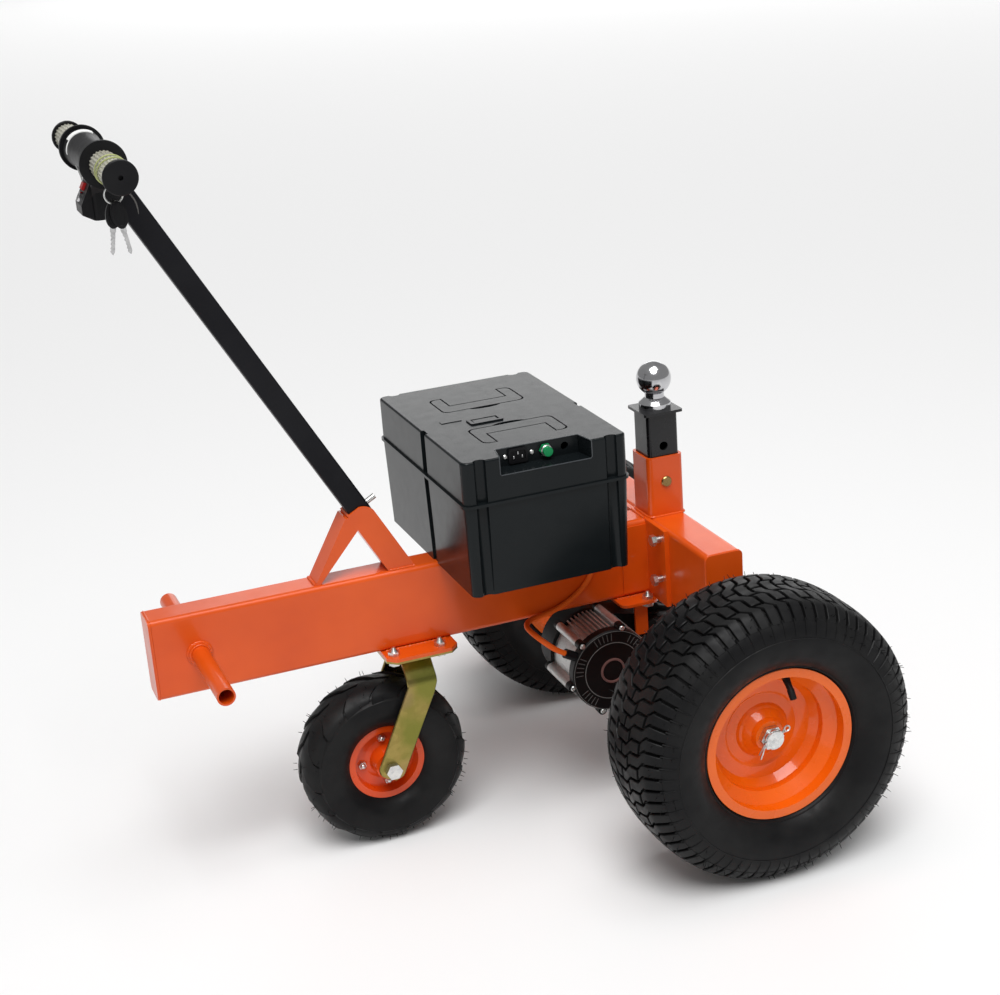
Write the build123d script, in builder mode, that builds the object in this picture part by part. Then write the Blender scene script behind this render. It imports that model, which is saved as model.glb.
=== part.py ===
import os
from math import atan2, cos, degrees, hypot, radians, sin, sqrt, tan

from build123d import *

os.makedirs("parts", exist_ok=True)

# Frame: +X runs from the nose to the hitch, +Z up, and the origin is on the ground midway
# between the front of the handle's head and the back of the rear tyres. Left is +Y. Millimetres.

# Stance: the handlebar and the nose are placed by their distance ahead of the rear axle
tyre_radius = 203.0
tyre_width = 165.0
track_half = 325.0
bar_reach = 725.4
head_radius = 29.0
nose_reach = 746.0
axle_x = (bar_reach + head_radius - tyre_radius) / 2
nose_x = axle_x - nose_reach

# Frame tubes
tube_wall = 3.5
tube_corner = 7.0
beam_width = 50.0
beam_height = 116.0
beam_over_axle = 89.0
beam_bottom = tyre_radius + beam_over_axle
beam_top = beam_bottom + beam_height
beam_mid = (beam_top + beam_bottom) / 2
cap_thickness = 3.0
cross_width = 56.0
cross_half_length = 203.0
cross_offset = 19.5
cross_x = axle_x + cross_offset
cross_front_x = cross_x - cross_width / 2
flange_thickness = 7.0
flange_half_width = 87.0
flange_x = cross_front_x - flange_thickness
doubler_length = 40.0
doubler_thickness = 2.5

# Pipe through the nose to push or tie down by
push_bar_radius = 12.5
push_bar_wall = 2.5
push_bar_half = 178.0
push_bar_reach = 682.0
push_bar_x = axle_x - push_bar_reach
push_bar_z = beam_mid
push_collar_radius = 16.0
push_collar_length = 5.0

# Frame bolts
bolt_radius = 5.0
bolt_head_radius = 8.5
bolt_head_height = 6.5
flange_bolt_y = 74.0
flange_bolt_stand_off = 9.0
flange_bolt_drops = (15.0, 76.0)

# Hitch
receiver_wall = 3.5
receiver_height = 90.0
post_gap = 0.5
post_size = cross_width - 2 * receiver_wall - 2 * post_gap
post_wall = 4.0
post_corner = 5.0
post_rise = 153.5
post_top = beam_top + post_rise
post_lift = 12.0
cap_plate_size = 60.0
cap_plate_thickness = 4.0
ball_radius = 25.0
ball_rise = 47.5
ball_centre_z = post_top + ball_rise
ball_neck_radius = 14.0
ball_collar_radius = 23.0
ball_collar_height = 8.0
hitch_bolt_radius = 8.0
hitch_bolt_drop = 38.0
hitch_bolt_stand_off = 2.5
hitch_nut_radius = 13.0
hitch_nut_height = 8.0
spare_hole_radius = 6.5
spare_hole_rise = 15.0

# Handle and its socket
handle_rise = 615.0
handle_reach = 340.7
handle_foot_x = axle_x - bar_reach + handle_reach
handle_size = 30.0
handle_wall = 2.5
handle_corner = 3.0
handle_length = hypot(handle_rise, handle_reach)
handle_gap = 0.5
socket_wall = 3.0
socket_length = 114.0
socket_below = 30.0
brace_reach = 511.0
brace_foot_x = axle_x - brace_reach
brace_width = 37.0
brace_thickness = 5.0
brace_foot_length = 7.0
brace_weld_length = 23.0
brace_weld_inset = 3.0
cheek_rise = 2.0
cheek_drop = 16.0
handle_pin_radius = 4.0
handle_pin_inset = 8.0
handle_pin_along = socket_length - handle_pin_inset
handle_pin_stand_off = 14.0

# Handle head
bar_x = handle_foot_x - handle_reach
bar_z = beam_top + handle_rise
bar_radius = 11.0
grip_end = 190.0
grip_radius = 17.5
grip_flute_count = 24
grip_flute_radius = 1.8
grip_flute_depth = 1.1
grip_gap = 1.0
end_disc_radius = 21.0
end_disc_thickness = 6.0
end_disc_hole = 3.0
bar_half = grip_end - end_disc_thickness
housing_half = 79.0
housing_flange_thickness = 6.0
housing_shoulder_radius = 25.0
housing_waist_radius = 21.0
neck_drop = 76.0
neck_top_half = 52.0
neck_half = 24.0
neck_waist_drop = 42.0
neck_front_top = 15.0
neck_front = 11.0
neck_slope_drop = 30.0
neck_back_top = 34.0
neck_back = 24.0
neck_corner = 6.0
tube_end_gap = 34.0
switch_box_width = 44.0
switch_box_reach = 25.0
switch_face_drop = 26.0
switch_box_front = 12.0
switch_box_y = 2.0
rocker_y = 6.0
rocker_along = 7.5
rocker_width = 15.0
rocker_height = 10.0
key_lock_y = 2.0
key_lock_along = 21.0
key_lock_radius = 6.5
control_height = 3.5
key_y = -120.0
key_ring_radius = 11.0
key_ring_wire = 1.2
key_head_width = 19.0
key_head_length = 34.0
key_head_thickness = 6.0
key_blade_width = 7.0
key_blade_length = 34.0
key_blade_thickness = 2.0
key_lean = 9.0
key_spread = 4.0

# Battery box
box_reach = 340.0
box_length = 234.5
box_front_x = axle_x - box_reach
box_back_x = box_front_x + box_length
box_mid_x = (box_front_x + box_back_x) / 2
box_half_width = 177.0
box_height = 190.0
box_top = beam_top + box_height
box_seam_rise = 127.0
box_seam_z = beam_top + box_seam_rise
box_corner = 10.0
box_taper = 3.3
box_wall = 4.0
box_edge = 3.0
groove_inset = 24.0
groove_half_width = 8.5
groove_depth = 6.0
end_groove_y = -20.0
end_groove_width = 18.0
end_groove_depth = 4.0
lid_lip = 3.0
lid_lip_height = 4.0
lid_roof = 8.0
panel_inset = 52.0
panel_length = 131.0
panel_x0 = box_front_x + panel_inset
panel_x1 = panel_x0 + panel_length
panel_height = 25.0
panel_splay = 6.0
panel_z0 = box_top - panel_height
panel_depth = 33.0
panel_mid_z = (panel_z0 + box_top) / 2
inlet_inset = 37.5
inlet_x = panel_x0 + inlet_inset
inlet_width = 27.0
inlet_height = 20.0
inlet_rim = 3.0
inlet_depth = 4.0
button_inset = 77.5
button_x = panel_x0 + button_inset
button_radius = 6.5
button_length = 12.0
button_nut_radius = 9.0
button_nut_length = 4.0
panel_hole_inset = 105.5
panel_hole_radius = 5.5
lid_handle_x = box_front_x + box_length / 2
lid_handle_y = 1.0
lid_handle_length = 120.0
lid_handle_in = 47.0
lid_handle_out = 112.0
lid_handle_bar = 26.0
lid_handle_arm = 16.0
lid_handle_corner = 10.0
lid_handle_thickness = 5.0
lid_handle_gap = 2.2
scoop_half_length = 24.0
scoop_half_width = 9.0
latch_x = lid_handle_x - 24.0
latch_y = -16.0
latch_length = 48.0
latch_width = 24.0
latch_rim = 5.0
latch_height = 2.0
battery_length = 195.0
battery_pair_width = 260.0
battery_head_room = 23.0
battery_height = box_height - box_wall - lid_roof - battery_head_room

# Drive
axle_z = tyre_radius
motor_reach = 113.2
motor_x = axle_x - motor_reach
motor_rise = 18.5
motor_z = axle_z + motor_rise
motor_radius = 56.0
motor_fin_height = 6.0
motor_fin_thickness = 2.4
motor_near_y = -88.0
motor_far_y = -20.0
motor_lug_count = 6
motor_lug_angle = 13.5
motor_lug_orbit_radius = 63.5
motor_lug_radius = 6.5
motor_smooth_sector = 2
motor_sector_fins = 7
motor_fin_pitch = 6.0
cover_radius = 61.5
cover_thickness = 16.0
cover_edge = 3.0
cover_disc_radius = 42.0
cover_groove = 1.2
cover_slot_count = 5
cover_slot_fan = 28.0
cover_slot_in = 45.5
cover_slot_out = 57.5
cover_slot_width = 1.6
cover_slot_depth = 2.5
cover_ring_radius = 18.0
cover_ring_width = 2.0
cover_ring_height = 1.2
gland_radius = 7.0
gland_length = 20.0
gland_angle = 150.0
cable_radius = 4.0
gear_case_radius = 50.0
gear_case_half = 30.0
case_flange_radius = 56.0
case_flange_half = 4.0
case_bolt_count = 8
case_boss_radius = 7.0
mount_flange_thickness = 8.0
axle_tube_radius = 21.0
axle_tube_half = 215.0
axle_cone_radius = 30.0
axle_cone_length = 30.0
axle_end_radius = 27.0
axle_end_length = 22.0
axle_bore = 14.0
bracket_thickness = 4.0
bracket_reach = 41.0
bracket_x = axle_x - bracket_reach
bracket_length = 60.0
bracket_half_width = 55.0
bracket_corner = 12.0
bracket_gap = 0.5
bracket_bolt_reach = 26.0
bracket_bolt_y = 44.0
ear_width = 20.0
ear_drop = 55.0

# Rear wheels
tyre_tread_half = 58.0
tyre_side_radius = 150.0
tyre_shoulder_radius = 185.0
tyre_crown = 0.025
bead_gap = 0.5
rim_lip_radius = 108.0
rim_lip_out = 58.0
rim_thickness = 3.0
rim_seat_radius = 99.0
rim_seat_width = 16.0
rim_well_radius = 84.0
rim_well_width = 20.0
rim_disc_out = 10.0
rim_dish_radius = 72.0
rim_dish_edge = 12.0
rim_bead_radius = 52.0
rim_bead_depth = 2.0
hub_radius = 24.0
hub_out = 32.0
hub_in = 44.0
hub_steps = ((36.0, 3.0), (30.0, 8.0), (24.0, 14.0))
shaft_radius = 12.5
shaft_out = 48.0
shaft_in = 150.0
axle_nut_radius = 17.0
axle_nut_height = 9.0
castle_radius = 14.0
castle_height = 5.0
castle_slot = 3.5

# Caster
kingpin_reach = 383.0
kingpin_x = axle_x - kingpin_reach
caster_trail = 55.0
caster_radius = 122.0
caster_width = 85.0
caster_axle_x = kingpin_x - caster_trail
caster_plate_front = 47.0
caster_plate_back = 58.0
caster_plate_half = 60.0
caster_mount_thickness = 5.0
caster_plate_thickness = 3.0
caster_plate_corner = 12.0
caster_bolt_dx = 34.0
caster_bolt_dy = 43.0
nut_height = 6.0
nut_dome_radius = 6.0
raceway_radius = 27.0
raceway_height = 3.0
kingpin_radius = 8.0
kingpin_nut_radius = 12.0
kingpin_nut_height = 7.0
swivel_gap = 1.0
fork_thickness = 5.0
fork_half_width = 54.5
fork_bend_rise = 124.0
fork_bend_z = caster_radius + fork_bend_rise
fork_bend_radius = 9.0
fork_head_half = 26.0
fork_head_length = 44.0
fork_leg_width = 40.0
fork_foot = 14.0
fork_foot_round = 13.0
fork_foot_chamfer = 9.0
caster_rim_radius = 56.0
caster_rim_out = 26.0
caster_seat_radius = 50.0
caster_dish_out = 12.0
caster_dish_radius = 30.0
caster_hub_radius = 20.0
caster_hub_half = 40.0
caster_tread_half = 27.0
caster_shoulder_radius = 112.0
caster_side_radius = 92.0
caster_axle_radius = 8.0
caster_nut_radius = 12.0
running_gap = 0.1


def keep(name, piece):
    piece.label = name
    export_step(piece, f"parts/{name}.step")


# Main beam: a closed box tube, bored across near the nose for the push bar
with BuildPart() as main_beam:
    beam_back_x = flange_x
    beam_front_x = nose_x + cap_thickness
    with BuildSketch(Plane.YZ.offset(beam_front_x)):
        with Locations((0, beam_mid)):
            RectangleRounded(beam_width, beam_height, tube_corner)
            RectangleRounded(beam_width - 2 * tube_wall, beam_height - 2 * tube_wall,
                             tube_corner - tube_wall, mode=Mode.SUBTRACT)
    extrude(amount=beam_back_x - beam_front_x)
    with BuildSketch(Plane.XZ):
        with Locations((push_bar_x, push_bar_z)):
            Circle(push_bar_radius)
    extrude(amount=beam_width, both=True, mode=Mode.SUBTRACT)
keep("main_beam", main_beam.part)

# Push bar: a pipe welded through the beam, open at both ends, with a collar at each side
with BuildPart() as push_bar:
    with BuildSketch(Plane.XZ):
        with Locations((push_bar_x, push_bar_z)):
            Circle(push_bar_radius)
    extrude(amount=push_bar_half, both=True)
    for side in (1, -1):
        with BuildSketch(Plane.XZ.offset(side * (beam_width / 2 + push_collar_length / 2))):
            with Locations((push_bar_x, push_bar_z)):
                Circle(push_collar_radius)
        extrude(amount=push_collar_length / 2, both=True)
    with BuildSketch(Plane.XZ):
        with Locations((push_bar_x, push_bar_z)):
            Circle(push_bar_radius - push_bar_wall)
    extrude(amount=push_bar_half, both=True, mode=Mode.SUBTRACT)
keep("push_bar", push_bar.part)

# Flange: the plate that bolts to the cross-member, with a doubler on each face of the beam
with BuildPart() as beam_flange:
    with BuildSketch(Plane.YZ.offset(flange_x)):
        with Locations((0, beam_mid)):
            Rectangle(2 * flange_half_width, beam_height)
        for drop in flange_bolt_drops:
            with Locations((flange_bolt_y, beam_top - drop), (-flange_bolt_y, beam_top - drop)):
                Circle(bolt_radius, mode=Mode.SUBTRACT)
    extrude(amount=flange_thickness)
    with BuildSketch(Plane.YZ.offset(flange_x)):
        with Locations((0, beam_mid)):
            with GridLocations(beam_width + doubler_thickness, 0, 2, 1):
                Rectangle(doubler_thickness, beam_height - 2 * tube_corner)
    extrude(amount=-doubler_length)
keep("beam_flange", beam_flange.part)

# Cross-member: a box tube across the machine, tapped for the flange bolts
with BuildPart() as cross_member:
    with BuildSketch(Plane.XZ):
        with Locations((cross_x, beam_mid)):
            RectangleRounded(cross_width, beam_height, tube_corner)
            RectangleRounded(cross_width - 2 * tube_wall, beam_height - 2 * tube_wall,
                             tube_corner - tube_wall, mode=Mode.SUBTRACT)
    extrude(amount=cross_half_length - cap_thickness, both=True)
    with BuildSketch(Plane.YZ.offset(cross_front_x)):
        for drop in flange_bolt_drops:
            with Locations((flange_bolt_y, beam_top - drop), (-flange_bolt_y, beam_top - drop)):
                Circle(bolt_radius)
    extrude(amount=tube_wall, mode=Mode.SUBTRACT)
keep("cross_member", cross_member.part)

# End caps: plates welded over the nose and both ends of the cross-member
with BuildPart() as end_caps:
    with BuildSketch(Plane.YZ.offset(nose_x)):
        with Locations((0, beam_mid)):
            RectangleRounded(beam_width, beam_height, tube_corner)
    extrude(amount=cap_thickness)
    for side in (1, -1):
        with BuildSketch(Plane.XZ.offset(side * (cross_half_length - cap_thickness / 2))):
            with Locations((cross_x, beam_mid)):
                RectangleRounded(cross_width, beam_height, tube_corner)
        extrude(amount=cap_thickness / 2, both=True)
keep("end_caps", end_caps.part)

# Frame bolts: the flange's stand off their plate, as they aren't run home; the caster's and the bracket's
# are seated, and a plain pin with a nut at the left holds the hitch post
receiver_top = beam_top + receiver_height
hitch_bolt_z = receiver_top - hitch_bolt_drop
with BuildPart() as frame_bolts:
    flange_head_x = flange_x - flange_bolt_stand_off
    for drop in flange_bolt_drops:
        for y in (flange_bolt_y, -flange_bolt_y):
            with BuildSketch(Plane.YZ.offset(flange_head_x)):
                with Locations((y, beam_top - drop)):
                    Circle(bolt_radius)
            extrude(amount=cross_front_x + tube_wall - flange_head_x)
            with BuildSketch(Plane.YZ.offset(flange_head_x)):
                with Locations((y, beam_top - drop)):
                    RegularPolygon(bolt_head_radius, 6)
            extrude(amount=-bolt_head_height)
    caster_bolts = [(kingpin_x + x, y) for x in (caster_bolt_dx, -caster_bolt_dx)
                    for y in (caster_bolt_dy, -caster_bolt_dy)]
    bracket_bolts = [(axle_x - bracket_bolt_reach, y) for y in (bracket_bolt_y, -bracket_bolt_y)]
    for centres, top, grip in ((caster_bolts, beam_bottom, caster_mount_thickness + caster_plate_thickness),
                               (bracket_bolts, beam_bottom, bracket_thickness)):
        with BuildSketch(Plane.XY.offset(top)):
            with Locations(*centres):
                RegularPolygon(bolt_head_radius, 6)
        extrude(amount=nut_height)
        with BuildSketch(Plane.XY.offset(top + nut_height)):
            with Locations(*centres):
                Circle(nut_dome_radius)
        extrude(amount=nut_height, taper=30)
        with BuildSketch(Plane.XY.offset(top - grip)):
            with Locations(*centres):
                Circle(bolt_radius)
        extrude(amount=grip)
        with BuildSketch(Plane.XY.offset(top - grip)):
            with Locations(*centres):
                RegularPolygon(bolt_head_radius, 6)
        extrude(amount=-bolt_head_height)
    with BuildSketch(Plane.XZ):
        with Locations((cross_x, hitch_bolt_z)):
            Circle(hitch_bolt_radius)
    extrude(amount=cross_width / 2 + hitch_bolt_stand_off, both=True)
    pin_ends = frame_bolts.edges().filter_by(lambda edge: edge.geom_type == GeomType.CIRCLE
                                             and edge.radius == hitch_bolt_radius)
    chamfer(pin_ends, hitch_bolt_stand_off / 2)
    with BuildSketch(Plane.XZ.offset(-cross_width / 2)):
        with Locations((cross_x, hitch_bolt_z)):
            RegularPolygon(hitch_nut_radius, 6)
    extrude(amount=-hitch_nut_height)
keep("frame_bolts", frame_bolts.part)

# Hitch receiver: a square tube welded on the cross-member
with BuildPart() as hitch_receiver:
    with BuildSketch(Plane.XY.offset(beam_top)):
        with Locations((cross_x, 0)):
            RectangleRounded(cross_width, cross_width, tube_corner)
            RectangleRounded(cross_width - 2 * receiver_wall, cross_width - 2 * receiver_wall,
                             post_corner + post_gap, mode=Mode.SUBTRACT)
    extrude(amount=receiver_height)
    with BuildSketch(Plane.XZ):
        with Locations((cross_x, hitch_bolt_z)):
            Circle(hitch_bolt_radius)
    extrude(amount=cross_width, both=True, mode=Mode.SUBTRACT)
keep("hitch_receiver", hitch_receiver.part)

# Hitch post: a square tube with a wider cap plate, held in the receiver by a bolt
with BuildPart() as hitch_post:
    with BuildSketch(Plane.XY.offset(beam_top + post_lift)):
        with Locations((cross_x, 0)):
            RectangleRounded(post_size, post_size, post_corner)
            RectangleRounded(post_size - 2 * post_wall, post_size - 2 * post_wall,
                             post_corner - post_wall, mode=Mode.SUBTRACT)
    extrude(amount=post_top - beam_top - post_lift)
    with BuildSketch(Plane.XY.offset(post_top)):
        with Locations((cross_x, 0)):
            RectangleRounded(cap_plate_size, cap_plate_size, tube_wall)
    extrude(amount=cap_plate_thickness)
    with BuildSketch(Plane.XZ):
        with Locations((cross_x, hitch_bolt_z)):
            Circle(hitch_bolt_radius)
        with Locations((cross_x, receiver_top + spare_hole_rise)):
            Circle(spare_hole_radius)
    extrude(amount=cross_width, both=True, mode=Mode.SUBTRACT)
keep("hitch_post", hitch_post.part)

# Hitch ball: ball, neck and collar, turned in one piece
with BuildPart() as hitch_ball:
    collar_bottom = post_top + cap_plate_thickness
    collar_top = collar_bottom + ball_collar_height
    neck_meets = sqrt(ball_radius ** 2 - ball_neck_radius ** 2)
    with BuildSketch(Plane.XZ) as ball_profile:
        with BuildLine():
            Polyline((cross_x, ball_centre_z + ball_radius), (cross_x, collar_bottom),
                     (cross_x + ball_collar_radius, collar_bottom),
                     (cross_x + ball_collar_radius, collar_top),
                     (cross_x + ball_neck_radius, collar_top + ball_collar_height),
                     (cross_x + ball_neck_radius, ball_centre_z - neck_meets))
            ThreePointArc((cross_x + ball_neck_radius, ball_centre_z - neck_meets),
                          (cross_x + ball_radius, ball_centre_z),
                          (cross_x, ball_centre_z + ball_radius))
        make_face()
    revolve(axis=Axis((cross_x, 0, 0), (0, 0, 1)))
keep("hitch_ball", hitch_ball.part)

# Handle: its own plane has z along the tube and x towards the box
handle_angle = atan2(handle_rise, handle_reach)
handle_plane = Plane(origin=(handle_foot_x, 0, beam_top), x_dir=(sin(handle_angle), 0, cos(handle_angle)),
                     z_dir=(-cos(handle_angle), 0, sin(handle_angle)))
channel_half = handle_size / 2 + handle_gap
beam_top_plane = Plane.XY.offset(beam_top)

# Handle socket: a channel open towards the box, cut off on the beam, with arched cheeks
with BuildPart() as handle_socket:
    with BuildSketch(handle_plane.offset(-socket_below)):
        with Locations((-socket_wall / 2, 0)):
            Rectangle(2 * channel_half + socket_wall, 2 * (channel_half + socket_wall))
        with Locations((socket_wall, 0)):
            Rectangle(2 * channel_half + 2 * socket_wall, 2 * channel_half, mode=Mode.SUBTRACT)
    extrude(amount=socket_below + socket_length)
    split(bisect_by=beam_top_plane, keep=Keep.TOP)
    with BuildSketch(Plane(origin=handle_plane.origin, x_dir=handle_plane.x_dir, z_dir=(0, -1, 0))):
        with BuildLine():
            cheek_low = socket_length - cheek_drop
            beyond = channel_half + cheek_drop
            above = socket_length + cheek_drop
            Polyline((-channel_half, socket_length), (-channel_half, above), (beyond, above),
                     (beyond, cheek_low), (channel_half, cheek_low))
            ThreePointArc((channel_half, cheek_low), (channel_half / 3, socket_length - cheek_rise),
                          (-channel_half, socket_length))
        make_face()
    extrude(amount=beam_width, both=True, mode=Mode.SUBTRACT)
    with BuildSketch(Plane(origin=handle_plane.origin, x_dir=(0, 1, 0), z_dir=handle_plane.x_dir)):
        with Locations((0, handle_pin_along)):
            Circle(handle_pin_radius)
    extrude(amount=2 * channel_half, both=True, mode=Mode.SUBTRACT)
keep("handle_socket", handle_socket.part)

# Handle tube: stands in the socket and reaches into the head's neck
tube_end = handle_length - tube_end_gap
with BuildPart() as handle_tube:
    with BuildSketch(handle_plane.offset(-socket_below)):
        RectangleRounded(handle_size, handle_size, handle_corner)
        RectangleRounded(handle_size - 2 * handle_wall, handle_size - 2 * handle_wall,
                         handle_corner - handle_wall, mode=Mode.SUBTRACT)
    extrude(amount=socket_below + tube_end)
    split(bisect_by=beam_top_plane, keep=Keep.TOP)
    with BuildSketch(Plane(origin=handle_plane.origin, x_dir=(0, 1, 0), z_dir=handle_plane.x_dir)):
        with Locations((0, handle_pin_along)):
            Circle(handle_pin_radius)
    extrude(amount=2 * channel_half, both=True, mode=Mode.SUBTRACT)
keep("handle_tube", handle_tube.part)

# Handle pin: through the channel's web and the tube, standing out at the open side
with BuildPart() as handle_pin:
    bolt_plane = Plane(origin=handle_plane.origin, x_dir=(0, 1, 0), z_dir=handle_plane.x_dir)
    with BuildSketch(bolt_plane.offset(-channel_half - socket_wall)):
        with Locations((0, handle_pin_along)):
            Circle(handle_pin_radius)
    extrude(amount=2 * channel_half + socket_wall + handle_pin_stand_off)
keep("handle_pin", handle_pin.part)

# Handle brace: a bent flat strap from the beam's top to the channel's web
with BuildPart() as handle_brace:
    weld_top = socket_length - brace_weld_inset
    web_face = -channel_half - socket_wall
    web_high = handle_plane.from_local_coords((web_face, 0, weld_top))
    web_low = handle_plane.from_local_coords((web_face, 0, weld_top - brace_weld_length))
    with BuildSketch(Plane.XZ):
        with BuildLine():
            Polyline((brace_foot_x, beam_top), (brace_foot_x + brace_foot_length, beam_top),
                     (web_low.X, web_low.Z), (web_high.X, web_high.Z),
                     (web_high.X - brace_thickness, web_high.Z), close=True)
        make_face()
    extrude(amount=brace_width / 2, both=True)
keep("handle_brace", handle_brace.part)

# Handlebar: a tube across the head
with BuildPart() as handlebar:
    with BuildSketch(Plane.XZ):
        with Locations((bar_x, bar_z)):
            Circle(bar_radius)
    extrude(amount=bar_half, both=True)
keep("handlebar", handlebar.part)

# Grips: fluted sleeves on the ends of the bar
with BuildPart() as grips:
    for side in (1, -1):
        with BuildSketch(Plane.XZ.offset(side * (housing_half + grip_gap))):
            with Locations((bar_x, bar_z)):
                Circle(grip_radius)
                Circle(bar_radius, mode=Mode.SUBTRACT)
                with PolarLocations(grip_radius + grip_flute_radius - grip_flute_depth, grip_flute_count):
                    Circle(grip_flute_radius, mode=Mode.SUBTRACT)
        extrude(amount=side * (bar_half - housing_half - grip_gap))
keep("grips", grips.part)

# Grip ends: a disc that closes each grip, with a hole at its centre
with BuildPart() as grip_ends:
    for side in (1, -1):
        with BuildSketch(Plane.XZ.offset(side * bar_half)):
            with Locations((bar_x, bar_z)):
                Circle(end_disc_radius)
                Circle(end_disc_hole, mode=Mode.SUBTRACT)
        extrude(amount=side * end_disc_thickness)
    rims = grip_ends.edges().filter_by(GeomType.CIRCLE).filter_by(lambda edge: edge.radius > bar_radius)
    chamfer(rims, grip_flute_depth)
keep("grip_ends", grip_ends.part)

# Throttle housing: a neck that takes the tube, flared out to a waisted barrel between two flanges
with BuildPart() as throttle_housing:
    with BuildSketch(Plane.XZ):
        with BuildLine():
            Polyline((bar_x - neck_front_top, bar_z), (bar_x - neck_front, bar_z - neck_slope_drop),
                     (bar_x - neck_front, bar_z - neck_drop), (bar_x + neck_back, bar_z - neck_drop),
                     (bar_x + neck_back, bar_z - neck_waist_drop), (bar_x + neck_back_top, bar_z - neck_slope_drop),
                     (bar_x + neck_back, bar_z), close=True)
        make_face()
    extrude(amount=neck_top_half, both=True)
    with BuildSketch(Plane.YZ.offset(bar_x)):
        with BuildLine():
            Polyline((-neck_half, bar_z - neck_drop), (neck_half, bar_z - neck_drop),
                     (neck_half, bar_z - neck_waist_drop), (neck_top_half, bar_z), (-neck_top_half, bar_z),
                     (-neck_half, bar_z - neck_waist_drop), close=True)
        make_face()
    extrude(amount=neck_back_top + neck_front_top, both=True, mode=Mode.INTERSECT)
    fillet(throttle_housing.edges().filter_by(Axis.Z), neck_corner)
    with BuildSketch(Plane.XY.offset(bar_z)):
        with BuildLine():
            flange_in = housing_half - housing_flange_thickness
            shoulder_x = bar_x + housing_shoulder_radius
            rim_x = bar_x + head_radius
            Polyline((bar_x, flange_in), (bar_x, housing_half), (rim_x, housing_half), (rim_x, flange_in),
                     (shoulder_x, flange_in))
            ThreePointArc((shoulder_x, flange_in), (bar_x + housing_waist_radius, 0), (shoulder_x, -flange_in))
            Polyline((shoulder_x, -flange_in), (rim_x, -flange_in), (rim_x, -housing_half),
                     (bar_x, -housing_half), (bar_x, flange_in))
        make_face()
    revolve(axis=Axis((bar_x, 0, bar_z), (0, 1, 0)))
    with BuildSketch(Plane.XZ):
        with Locations((bar_x, bar_z)):
            Circle(bar_radius)
    extrude(amount=bar_half, both=True, mode=Mode.SUBTRACT)
    with BuildSketch(handle_plane):
        RectangleRounded(handle_size, handle_size, handle_corner)
    extrude(amount=tube_end, mode=Mode.SUBTRACT)
keep("throttle_housing", throttle_housing.part)

# Switch box: a wedge on the front of the neck, whose sloping face carries the controls
face_top = (bar_x - neck_front, bar_z - neck_slope_drop)
face_low = (bar_x - switch_box_reach, bar_z - neck_slope_drop - switch_face_drop)
with BuildPart() as switch_box:
    with BuildSketch(Plane.XZ.offset(-switch_box_y)):
        with BuildLine():
            Polyline(face_top, face_low, (face_low[0], face_low[1] - switch_box_front),
                     (bar_x - neck_front, bar_z - neck_drop), close=True)
        make_face()
    extrude(amount=switch_box_width / 2, both=True)
keep("switch_box", switch_box.part)

# The controls' plane has x to the left and y down the slope
face_slope = atan2(switch_face_drop, switch_box_reach - neck_front)
face_plane = Plane(origin=(face_top[0], 0, face_top[1]), x_dir=(0, 1, 0),
                   z_dir=(-sin(face_slope), 0, cos(face_slope)))
with BuildPart() as power_rocker:
    with BuildSketch(face_plane):
        with Locations((rocker_y, rocker_along)):
            Rectangle(rocker_width, rocker_height)
    extrude(amount=control_height, taper=12)
keep("power_rocker", power_rocker.part)

with BuildPart() as key_lock:
    with BuildSketch(face_plane):
        with Locations((key_lock_y, key_lock_along)):
            Circle(key_lock_radius)
    extrude(amount=control_height)
    with BuildSketch(face_plane.offset(control_height)):
        with Locations((key_lock_y, key_lock_along)):
            Rectangle(key_blade_thickness, key_blade_width)
    extrude(amount=-control_height / 2, mode=Mode.SUBTRACT)
keep("key_lock", key_lock.part)

# Keys: a ring hung under the right grip, with two keys on it
with BuildPart() as keys:
    ring_top = bar_z - grip_radius
    ring_z = ring_top - key_ring_radius - key_ring_wire
    with BuildSketch(Plane.XZ.offset(-key_y)):
        with Locations((bar_x, ring_z)):
            Circle(key_ring_radius + key_ring_wire)
            Circle(key_ring_radius - key_ring_wire, mode=Mode.SUBTRACT)
    extrude(amount=key_ring_wire, both=True)
    for side in (1, -1):
        lean = -side * radians(key_lean)
        key_plane = Plane(origin=(bar_x, key_y + side * key_spread, ring_z - key_ring_radius + key_spread),
                          x_dir=(cos(lean), 0, sin(lean)), z_dir=(0, -1, 0))
        with BuildSketch(key_plane):
            with Locations((0, -key_head_length / 2)):
                Ellipse(key_head_width / 2, key_head_length / 2)
        extrude(amount=key_head_thickness / 2, both=True)
        with BuildSketch(key_plane):
            with Locations((0, -key_head_length - key_blade_length / 2 + key_blade_thickness)):
                Rectangle(key_blade_width, key_blade_length)
        extrude(amount=key_blade_thickness / 2, both=True)
keep("keys", keys.part)

# Battery box: a tapered case and a lid that laps over its rim, both grooved near their corners
groove_y = box_half_width - box_taper / 2
groove_places = [(box_mid_x + end * (box_length / 2 - groove_inset), side * groove_y)
                 for end in (1, -1) for side in (1, -1)]
end_groove_places = [(box_front_x + box_taper / 2, end_groove_y), (box_back_x - box_taper / 2, end_groove_y)]


def groove_shapes(grow):
    """Draw the grooves' sections in the open sketch: as cuts, or grown by a wall as the ribs behind them."""
    with Locations(*groove_places):
        Ellipse(groove_half_width + grow, groove_depth + grow, mode=Mode.SUBTRACT if grow else Mode.ADD)
    with Locations(*end_groove_places):
        Rectangle(2 * (end_groove_depth + grow), end_groove_width + 2 * grow,
                  mode=Mode.SUBTRACT if grow else Mode.ADD)


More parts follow.
